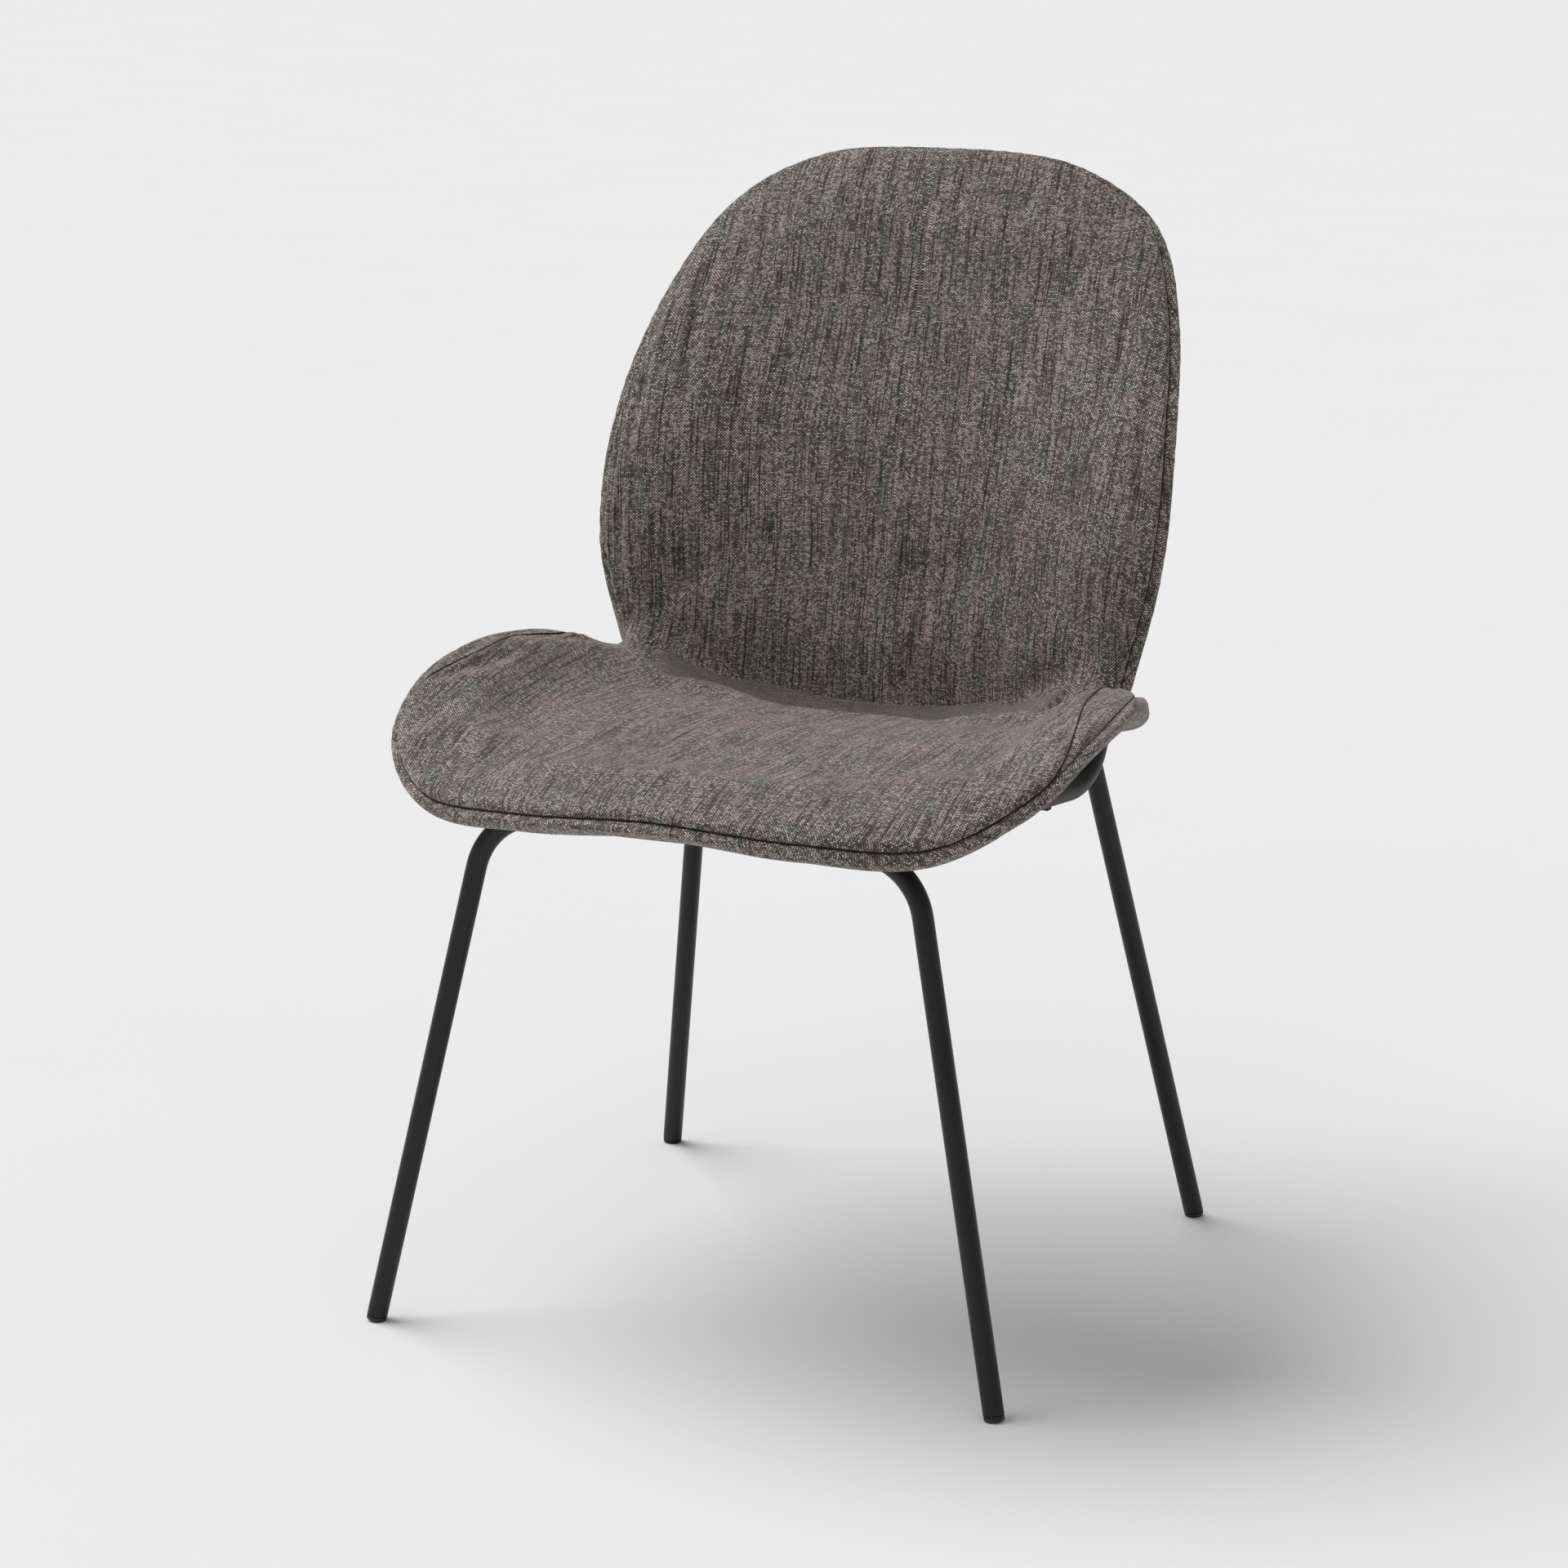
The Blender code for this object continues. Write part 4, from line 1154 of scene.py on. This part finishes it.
def fill_band(obj, away, free):
    """Rounds the band out below the wings, a little way from the notches."""
    points = points_of(obj)
    near = nearness(from_notches(points), BAND_FULL_AT, BAND_FULL_OVER)
    lift = BAND_FULL * near * nearness(away, BAND_FULL_IN, BAND_FULL_WIDTH) * free
    set_points(obj, points + normals_of(obj) * lift[:, None])


def surface_weight(surface, along):
    return np.interp(along, surface.along, surface.weight)


def parallel_folds(obj, away, along, seen, seed):
    """Shallow folds beside the seam, where the band's cloth is pulled round the shell's edge."""
    points = points_of(obj)
    normals = normals_of(obj)
    wander = BAND_WANDER * waves(along, 0.16, seed + 4)
    lift = sum(height * nearness(away, at + wander, width) for height, at, width in (BAND_FOLD, BAND_ROLL))
    lift *= 0.55 + 0.45 * waves(along, 0.21, seed + 9)
    set_points(obj, points + normals * (lift * seen)[:, None])


def settle_cloth(points):
    """Lets the cloth down round both notches, where the fold's ends are pulled tight."""
    for middle, movement, width in SETTLED:
        gap = np.linalg.norm(points - np.array(middle), axis=1)
        points = points + nearness(gap, 0, width)[:, None] * np.array(movement)
    return points


def finish_soft(obj, fill, *nodes):
    set_points(obj, settle_cloth(points_of(obj)))
    move_to_frame(obj)
    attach(obj, "root")
    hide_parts(*nodes)


def move_to_frame(obj):
    """From the design's frame to the solids' frame."""
    set_points(obj, points_of(obj) + SHIFT)


def finish_hard(obj, slot, *nodes):
    move_to_frame(obj)
    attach(obj, "root")
    if nodes:
        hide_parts(*nodes)


# ---------------------------------------------------------------- swept and turned pieces


def circle_round(centre, along, start, radius, sides):
    turn = np.linspace(0, 2 * math.pi, sides, endpoint=False)[:, None]
    return centre + radius * (np.cos(turn) * start + np.sin(turn) * np.cross(along, start))


def square_to(vector, along):
    return unit(vector - along * (vector @ along))


def sweep_rings(path, radii, sides):
    """Circles square to a path, with no twist."""
    path = np.array(path, float)
    steps = unit(np.diff(path, axis=0))
    along = unit(np.vstack([steps[:1], steps[:-1] + steps[1:], steps[-1:]]))
    start = square_to(np.array((0.31, 0.87, 0.38)), along[0])
    rings = []
    for point, direction, radius in zip(path, along, np.broadcast_to(radii, len(path))):
        start = square_to(start, direction)
        rings.append(circle_round(point, direction, start, radius, sides))
    return rings


def joined_rings(rings, closed=False):
    """Points and faces through rings. An open run of rings is closed with a face at each end."""
    count = len(rings[0])
    faces = []
    for k in range(len(rings) if closed else len(rings) - 1):
        a, b = k * count, (k + 1) % len(rings) * count
        faces += [(a + i, a + (i + 1) % count, b + (i + 1) % count, b + i) for i in range(count)]
    if not closed:
        faces.append(tuple(range(count))[::-1])
        faces.append(tuple((len(rings) - 1) * count + i for i in range(count)))
    return np.vstack(rings), faces


def sweep(name, path, radii, sides, material, closed=False):
    points, faces = joined_rings(sweep_rings(path, radii, sides), closed)
    return sharp_ends(mesh_object(name, points, faces, material))


def sharp_ends(obj):
    obj.data.set_sharp_from_angle(angle=math.radians(38))
    return obj


def turned(name, base, axis, outline, sides, material):
    """A turned body. outline is (distance along the axis, radius) from one end to the other."""
    axis = unit(np.array(axis, float))
    start = square_to(np.array((0.9, 0.1, 0.42)), axis)
    rings = [circle_round(base + axis * along, axis, start, radius, sides) for along, radius in outline]
    points, faces = joined_rings(rings)
    return sharp_ends(mesh_object(name, points, faces, material))


def join(name, pieces):
    """One object from several that share a material."""
    meshes = [(points_of(piece), [tuple(face.vertices) for face in piece.data.polygons]) for piece in pieces]
    material = pieces[0].data.materials[0]
    for piece in pieces:
        old = piece.data
        bpy.data.objects.remove(piece)
        bpy.data.meshes.remove(old)
    points, faces = [], []
    for own_points, own_faces in meshes:
        faces += [tuple(i + len(points) for i in face) for face in own_faces]
        points += [*own_points]
    return sharp_ends(mesh_object(name, points, faces, material))


def mirrored(point, side):
    return np.array(point, float) * (side, 1, 1)


def bend(start, direction_in, direction_out, radius):
    """Points round a tube bend that begins at start."""
    direction_in, direction_out = unit(np.array(direction_in)), unit(np.array(direction_out))
    angle = math.acos(float(direction_in @ direction_out))
    inward = square_to(direction_out, direction_in)
    centre = start + inward * radius
    turn = np.linspace(0, angle, BEND_STEPS + 1)[:, None]
    return [*(centre - inward * radius * np.cos(turn) + direction_in * radius * np.sin(turn))]


def front_frame_path():
    """From the foot at -X, over the crossbar, to the foot at +X."""
    along = unit(FRONT_BEND - FRONT_FOOT)
    foot = FRONT_FOOT + along * GLIDE_HEAD / along[2]
    half = [foot, foot + along * 0.001, *bend(FRONT_BEND, along, (-1.0, 0, 0), FRONT_BEND_R)]
    return [mirrored(point, -1) for point in half] + half[::-1]


def crossbar_point():
    along = unit(FRONT_BEND - FRONT_FOOT)
    end = bend(FRONT_BEND, along, (-1.0, 0, 0), FRONT_BEND_R)[-1]
    return np.array((0, end[1], end[2]))


STEM_UP = np.array((0, math.sin(STEM_LEAN), math.cos(STEM_LEAN)))
STEM_FORWARD = np.array((0, -math.cos(STEM_LEAN), math.sin(STEM_LEAN)))
STEM_FRONT = crossbar_point() + (STEM_FRONT_X, 0, -STEM_FRONT_DROP)


def stem_path(side):
    """From the front crossbar, along under the seat and up behind the back."""
    rise = bend(STEM_BEND, STEM_BEND - STEM_FRONT, STEM_UP, STEM_BEND_R)
    top = rise[-1] + STEM_UP * (STEM_TOP_Z - rise[-1][2]) / STEM_UP[2]
    return [mirrored(point, side) for point in (STEM_FRONT, *rise, top)]


def rear_leg_path(side):
    along = unit(REAR_TOP - REAR_FOOT)
    foot = REAR_FOOT + along * GLIDE_HEAD / along[2]
    return [mirrored(foot, side), mirrored(foot + along * 0.001, side), mirrored(REAR_TOP, side)]


def stem_at(y):
    """The point at +X on a stem's axis under the seat, at a Y."""
    share = (y - STEM_FRONT[1]) / (STEM_BEND[1] - STEM_FRONT[1])
    return STEM_FRONT + share * (STEM_BEND - STEM_FRONT)


def stem_rise_at(z):
    """The point at +X on a stem's axis behind the back, at a height."""
    top = stem_path(1)[-1]
    return top - STEM_UP * (top[2] - z) / STEM_UP[2]


def weld_bead(name, end, direction, radius, other, other_axis, other_radius, seed):
    """A rippled fillet where a tube that comes along direction ends on another tube."""
    direction, other_axis = unit(np.array(direction)), unit(np.array(other_axis))
    start = square_to(np.array((0.2, 0.3, 0.93)), direction)
    ring = circle_round(end, direction, start, radius + 0.0004, WELD_STEPS)
    path = []
    for point in ring:
        gap = point - other - other_axis * ((point - other) @ other_axis)
        run = direction - other_axis * (direction @ other_axis)
        a, b, c = run @ run, 2 * gap @ run, gap @ gap - (other_radius + 0.0003) ** 2
        reach = (-b - math.sqrt(max(b * b - 4 * a * c, 0))) / (2 * a)
        path.append(point + direction * reach)
    path = np.array(path)
    steps = np.arange(WELD_STEPS)
    ripple = 0.16 * np.sin(steps * 2 * math.pi * WELD_RIPPLES / WELD_STEPS)
    ripple += 0.1 * np.sin(steps * 0.9 + seed)
    radii = WELD_R * (1 + ripple)
    along = unit(np.roll(path, -1, axis=0) - np.roll(path, 1, axis=0))
    begin = square_to(direction, along[0])
    rings = []
    for point, heading, bead in zip(path, along, radii):
        begin = square_to(direction, heading)
        rings.append(circle_round(point, heading, begin, bead, 12))
    points, faces = joined_rings(rings, closed=True)
    return mesh_object(name, points, faces, POWDER)


def swaged(path):
    """The stem's path and radii, with its front end drawn in to suit the thinner crossbar."""
    path = np.array(path)
    along = unit(path[1] - path[0])
    front = [path[0] + along * step for step, _ in SWAGE]
    radii = [radius for _, radius in SWAGE] + [STEM_R] * (len(path) - 1)
    return np.vstack([front, path[1:]]), radii


def make_tubes():
    front = sweep("front_leg_tube", front_frame_path(), LEG_R, TUBE_SIDES, POWDER)
    finish_hard(front, "frame", "front_leg_frame")
    y = CROSS_TUBE_Y
    beside = stem_at(y)
    z = STEM_FRONT[2] - CROSS_TUBE_DROP
    across = [(share * beside[0], y, z) for share in (-1, -0.98, 0.98, 1)]
    finish_hard(sweep("rear_cross_bar", across, LEG_R, TUBE_SIDES, POWDER), "frame", "rear_cross_tube")
    for name, side in SIDES.items():
        stem = sweep(f"stem_tube_{name}", *swaged(stem_path(side)), TUBE_SIDES, POWDER)
        finish_hard(stem, "frame", f"back_stem_{name}")
        leg = sweep(f"rear_leg_tube_{name}", rear_leg_path(side), LEG_R, TUBE_SIDES, POWDER)
        finish_hard(leg, "frame", f"rear_leg_{name}")
        finish_hard(make_welds(name, side), "frame")


def make_welds(name, side):
    """Beads at three of a side's tube joints."""
    flip = np.array((side, 1, 1))
    under = (STEM_BEND - STEM_FRONT) * flip
    front_z = crossbar_point()[2]
    crossbar = np.array((0, STEM_FRONT[1], front_z))
    joint = stem_at(CROSS_TUBE_Y) * flip
    cross_end = np.array((0, CROSS_TUBE_Y, STEM_FRONT[2] - CROSS_TUBE_DROP))
    leg_run = (REAR_TOP - REAR_FOOT) * flip
    beads = [
        weld_bead("bead", STEM_FRONT * flip, -under, SWAGE_R, crossbar, (1, 0, 0), LEG_R, 1),
        weld_bead("bead", REAR_TOP * flip, leg_run, LEG_R, *nearest_stem_line(side), STEM_R, 2),
        weld_bead("bead", cross_end, (side, 0, 0), LEG_R, joint, under, STEM_R, 3),
    ]
    return join(f"weld_beads_{name}", beads)


def nearest_stem_line(side):
    """A point and a direction of the stem where the rear leg meets it."""
    path = np.array(stem_path(side))
    middle = (path[:-1] + path[1:]) / 2
    target = mirrored(REAR_TOP, side)
    lengths = np.linalg.norm(path[1:] - path[:-1], axis=1)
    along = np.einsum("ij,ij->i", target - path[:-1], unit(path[1:] - path[:-1]))
    inside = np.clip(along, 0, lengths)
    foot = path[:-1] + unit(path[1:] - path[:-1]) * inside[:, None]
    nearest = int(np.argmin(np.linalg.norm(foot - target, axis=1)))
    return middle[nearest], path[nearest + 1] - path[nearest]


def foot_outline():
    """Nylon glide from its sole up: a rounded sole edge, then a thin shadow gap under the tube."""
    top = GLIDE_HEAD
    r = GLIDE_HEAD_R
    return (
        (0.0, r - 0.0016), (0.0003, r - 0.0009), (0.0009, r - 0.0003), (0.0017, r), (top - 0.0012, r),
        (top - 0.0007, r - 0.0001), (top - 0.0005, r - 0.0009), (top + 0.0002, r - 0.0011),
        (top + 0.004, r - 0.0015),
    )


def make_glides(name, side):
    for end, foot, top in (("front", FRONT_FOOT, FRONT_BEND), ("rear", REAR_FOOT, REAR_TOP)):
        along = unit(top - foot) * (side, 1, 1)
        glide = turned("glide", mirrored(foot, side), along, foot_outline(), TUBE_SIDES, NYLON)
        settle_on_floor(glide)
        glide.name = glide.data.name = f"glide_{end}_{name}"
        finish_hard(glide, "nylon", f"foot_glide_{end}_{name}")


def settle_on_floor(glide):
    """Cuts the sole flat: points below the floor come up to it."""
    points = points_of(glide)
    points[:, 2] = np.maximum(points[:, 2], 0)
    set_points(glide, points)


def make_stem_cap(name, side):
    path = np.array(stem_path(side))
    axis = unit(path[-1] - path[-2])
    r = STEM_R
    outline = (
        (-0.004, r - 0.0022), (0.0002, r - 0.0022), (0.0003, r - 0.0006), (0.0004, r), (0.0014, r),
        (0.0020, r - 0.0003), (0.0026, r - 0.0012), (0.0030, r - 0.0028), (0.0032, r - 0.0055),
    )
    cap = turned(f"stem_end_cap_{name}", path[-1], axis, outline, TURNED_SIDES, NYLON)
    finish_hard(cap, "nylon", f"stem_cap_{name}")


def tab_plate(name, centre, across, along, size):
    """Stamped steel tab with rounded corners and broken edges."""
    made = bmesh.new()
    bmesh.ops.create_cube(made, size=1.0)
    bmesh.ops.scale(made, vec=size, verts=made.verts)
    upright = [edge for edge in made.edges if abs((edge.verts[0].co - edge.verts[1].co).z) > size[2] / 2]
    bmesh.ops.bevel(made, geom=upright, offset=0.006, segments=8, profile=0.5, affect="EDGES")
    flat = [edge for edge in made.edges if abs((edge.verts[0].co - edge.verts[1].co).z) < 1e-6]
    rims = [edge for edge in flat if edge.is_manifold and edge.calc_face_angle(0) > 1.2]
    bmesh.ops.bevel(made, geom=rims, offset=0.0005, segments=3, profile=0.5, affect="EDGES")
    axes = np.array((unit(across), unit(along), unit(np.cross(across, along))))
    points = np.array([vert.co[:] for vert in made.verts]) @ axes + centre
    faces = [tuple(vert.index for vert in face.verts) for face in made.faces]
    made.free()
    return sharp_ends(mesh_object(name, points, faces, POWDER))


def make_tabs(name, side):
    offset = SEAT_TAB_SIZE[0] / 2 - TAB_IN_STEM
    for end, y in SEAT_TAB_YS.items():
        centre = (stem_at(y) - (offset, 0, 0)) * (side, 1, 1)
        size = (*SEAT_TAB_SIZE, TAB_THICKNESS)
        tab = tab_plate(f"seat_bracket_{end}_{name}", centre, (1.0, 0, 0), (0, 1.0, 0), size)
        finish_hard(tab, "frame", f"seat_tab_{end}_{name}")
    low, high = BACK_TAB_ZS.values()
    centre = (stem_rise_at((low + high) / 2) - (offset, 0, 0)) * (side, 1, 1)
    size = (SEAT_TAB_SIZE[0], (high - low) / STEM_UP[2] + 2 * BACK_TAB_MARGIN, TAB_THICKNESS)
    tab = tab_plate(f"back_bracket_{name}", centre, (1.0, 0, 0), STEM_UP, size)
    finish_hard(tab, "frame", f"back_tab_{name}")


def fixing_places(side):
    """Node name pattern, place on the tab's face towards the shell, and direction into the shell."""
    for end, y in SEAT_TAB_YS.items():
        at = (stem_at(y) - (TAB_REACH, 0, 0)) * (side, 1, 1) + (0, 0, TAB_THICKNESS / 2)
        yield f"seat_{{}}_{end}", at, np.array((0, 0, 1.0))
    for end, z in BACK_TAB_ZS.items():
        at = (stem_rise_at(z) - (TAB_REACH, 0, 0)) * (side, 1, 1) + STEM_FORWARD * TAB_THICKNESS / 2
        yield f"back_{{}}_{end}", at, STEM_FORWARD


def hex_socket_screw(name, base, outward):
    """Button head with a hexagonal socket, on a short plain shank."""
    axis = unit(outward)
    start = square_to(np.array((0.9, 0.1, 0.42)), axis)
    r, h = SCREW_HEAD_R, SCREW_HEAD
    dome = [(-0.006, SCREW_R), (0.0, SCREW_R), (0.0, r - 0.0003), (0.0003, r)]
    for t in np.linspace(0.15, 1.45, 9):
        dome.append((0.0003 + (h - 0.0003) * math.sin(t), r * (0.42 + 0.58 * math.cos(t))))
    rings = [circle_round(base + axis * along, axis, start, radius, TURNED_SIDES) for along, radius in dome]
    turn = np.linspace(0, 2 * math.pi, TURNED_SIDES, endpoint=False)
    hexagon = SOCKET_R / np.cos((turn + math.pi / 6) % (math.pi / 3) - math.pi / 6)
    for along, scale in ((h - 0.0001, 1.06), (h - 0.0004, 1.0), (h - 0.0016, 0.99)):
        spokes = np.cos(turn)[:, None] * start + np.sin(turn)[:, None] * np.cross(axis, start)
        rings.append(base + axis * along + spokes * (hexagon * scale)[:, None])
    points, faces = joined_rings(rings)
    return sharp_ends(mesh_object(name, points, faces, OXIDE))


def make_fixings(name, side):
    """Screws, washers and the moulded collars that stand round the shells' bosses."""
    for pattern, at, inward in fixing_places(side):
        own = pattern + "_" + name
        under_tab = at - inward * (TAB_THICKNESS + GAP)
        r, thick, bore = WASHER_R, WASHER_THICKNESS, SCREW_R + 0.0002
        edge = 0.0002
        outline = ((0, bore), (0, r - edge), (edge, r), (thick - edge, r), (thick, r - edge), (thick, bore))
        washer = turned(own.format("flat_washer"), under_tab, -inward, outline, TURNED_SIDES, ZINC)
        finish_hard(washer, "zinc", own.format("washer"))
        head_base = under_tab - inward * (WASHER_THICKNESS + GAP)
        screw = hex_socket_screw(own.format("socket_screw"), head_base, -inward)
        finish_hard(screw, "screw", own.format("screw"))
        foot = at + inward * BOSS_COLLAR_UP
        collar = turned(own.format("boss_collar"), foot, inward, BOSS_COLLAR, TURNED_SIDES, SHELL)
        finish_hard(collar, "shell")


# ---------------------------------------------------------------- seam cords, near-black tubes that paint the seams' shadow


def seam_shadow_cord(name, line):
    """A near-black cord in the groove between a pad and its cover, round the rim from notch to notch; its
    colour is painted shadow in the seam's gap.
    """
    fine = through(line, CORD_STEPS)
    sway = CORD_SWAY * waves(np.arange(CORD_STEPS) * 0.0016, 0.009, 5)[:, None]
    cord = sweep(name, settle_cloth(fine + sway), CORD_R, CORD_SIDES, SEAM_SHADOW)
    finish_hard(cord, "fabric")


def crease_shadow_cord():
    """Painted shadow in the seam behind the chair, where the rear cover meets the under cover: a near-black
    cord along it.
    """
    line = np.vstack([FOLD_BASE[RIM_COLUMNS - 1:], FOLD_BASE[:1]])
    cord = sweep("seam_shadow_crease", settle_cloth(through(line[::3], 300)), CORD_R, CORD_SIDES, SEAM_SHADOW)
    finish_hard(cord, "fabric")


def seam_tail():
    """A small folded tail of cloth that sticks out of the notch at the sitter's left."""
    path = settle_cloth(through(np.array(NOTCH) + np.array(TAIL_LINE), TAIL_STEPS))
    share = np.linspace(0, 1, TAIL_STEPS)
    radii = TAIL_R * (0.55 + 0.45 * np.sin(math.pi * share) ** 0.6) * (1 + 0.08 * waves(share, 0.21, 3))
    tail = sweep("seam_tail_left", path, radii, TAIL_SIDES, WEAVE)
    run = np.repeat(share * TAIL_LENGTH, TAIL_SIDES)
    turn = np.tile(np.linspace(0, 2 * math.pi * TAIL_R, TAIL_SIDES), TAIL_STEPS)
    value_layer(tail, "weave", np.stack([turn, run, 0 * run], axis=1))
    finish_hard(tail, "fabric")


# ---------------------------------------------------------------- room, light and camera


def make_floor():
    made = bmesh.new()
    bmesh.ops.create_circle(made, cap_ends=True, segments=96, radius=FLOOR_R)
    mesh = bpy.data.meshes.new("floor")
    made.to_mesh(mesh)
    made.free()
    mesh.materials.append(floor_material("studio_floor"))
    floor = bpy.data.objects.new("floor", mesh)
    bpy.context.scene.collection.objects.link(floor)


def sun_light(name, source, strength, spread):
    data = bpy.data.lights.new(name, "SUN")
    data.energy = strength
    data.angle = math.radians(spread)
    lamp = bpy.data.objects.new(name, data)
    lamp.rotation_euler = (-Vector(source)).to_track_quat("-Z", "Y").to_euler()
    bpy.context.scene.collection.objects.link(lamp)


def make_world():
    world = bpy.data.worlds.new("studio")
    world.use_nodes = True
    world.node_tree.nodes["Background"].inputs["Color"].default_value = (1, 1, 1, 1)
    world.node_tree.nodes["Background"].inputs["Strength"].default_value = SKY_STRENGTH
    bpy.context.scene.world = world


def make_lights():
    make_world()
    sun_light("key", KEY_FROM, KEY_STRENGTH, KEY_SPREAD)
    sun_light("fill", FILL_FROM, FILL_STRENGTH, FILL_SPREAD)


def make_camera():
    az, el = CAMERA_AZIMUTH, CAMERA_ELEVATION
    back = Vector((math.sin(az) * math.cos(el), -math.cos(az) * math.cos(el), math.sin(el)))
    right = Vector((math.cos(az), math.sin(az), 0))
    up = back.cross(right)
    across, height = CAMERA_AIM
    c, s = math.cos(CAMERA_ROLL), math.sin(CAMERA_ROLL)
    right, up = c * right + s * up, c * up - s * right
    target = across * right + height * up
    data = bpy.data.cameras.new("camera")
    data.lens = CAMERA_LENS
    data.sensor_width = 36
    camera = bpy.data.objects.new("camera", data)
    place = target + back * CAMERA_DISTANCE + Vector(SHIFT)
    turn = Matrix((right, up, back)).transposed().to_4x4()
    camera.matrix_world = Matrix.Translation(place) @ turn
    bpy.context.scene.collection.objects.link(camera)
    bpy.context.scene.camera = camera


def recoat_frame():
    """Detailed materials for the solids that still show, and for those out of sight."""
    for name, node in frame["nodes"].items():
        if name.endswith("_shell"):
            finish = SHELL
        elif "_insert_" in name:
            finish = BRASS
        else:
            continue
        for material_slot in node.material_slots:
            material_slot.material = finish


# ---------------------------------------------------------------- the chair

dress_inner_cover()
dress_outer_cover(SEAT, "seat_outer_cover", 0, "seat_under_cover", 11)
dress_outer_cover(BACK, "back_outer_cover", 1, "back_rear_cover", 17)
# Near-black cords along the back's seam and behind the crease: painted shadow in the seams' gaps.
seam_shadow_cord("seam_shadow_back", BACK.ring(CORD_INSET, 0.0)[:RIM_COLUMNS:3])
crease_shadow_cord()
seam_tail()
make_tubes()
for side_name, side_sign in SIDES.items():
    make_glides(side_name, side_sign)
    make_stem_cap(side_name, side_sign)
    make_tabs(side_name, side_sign)
    make_fixings(side_name, side_sign)
recoat_frame()

make_floor()
make_lights()
make_camera()
bpy.context.scene.view_settings.view_transform = "Standard"
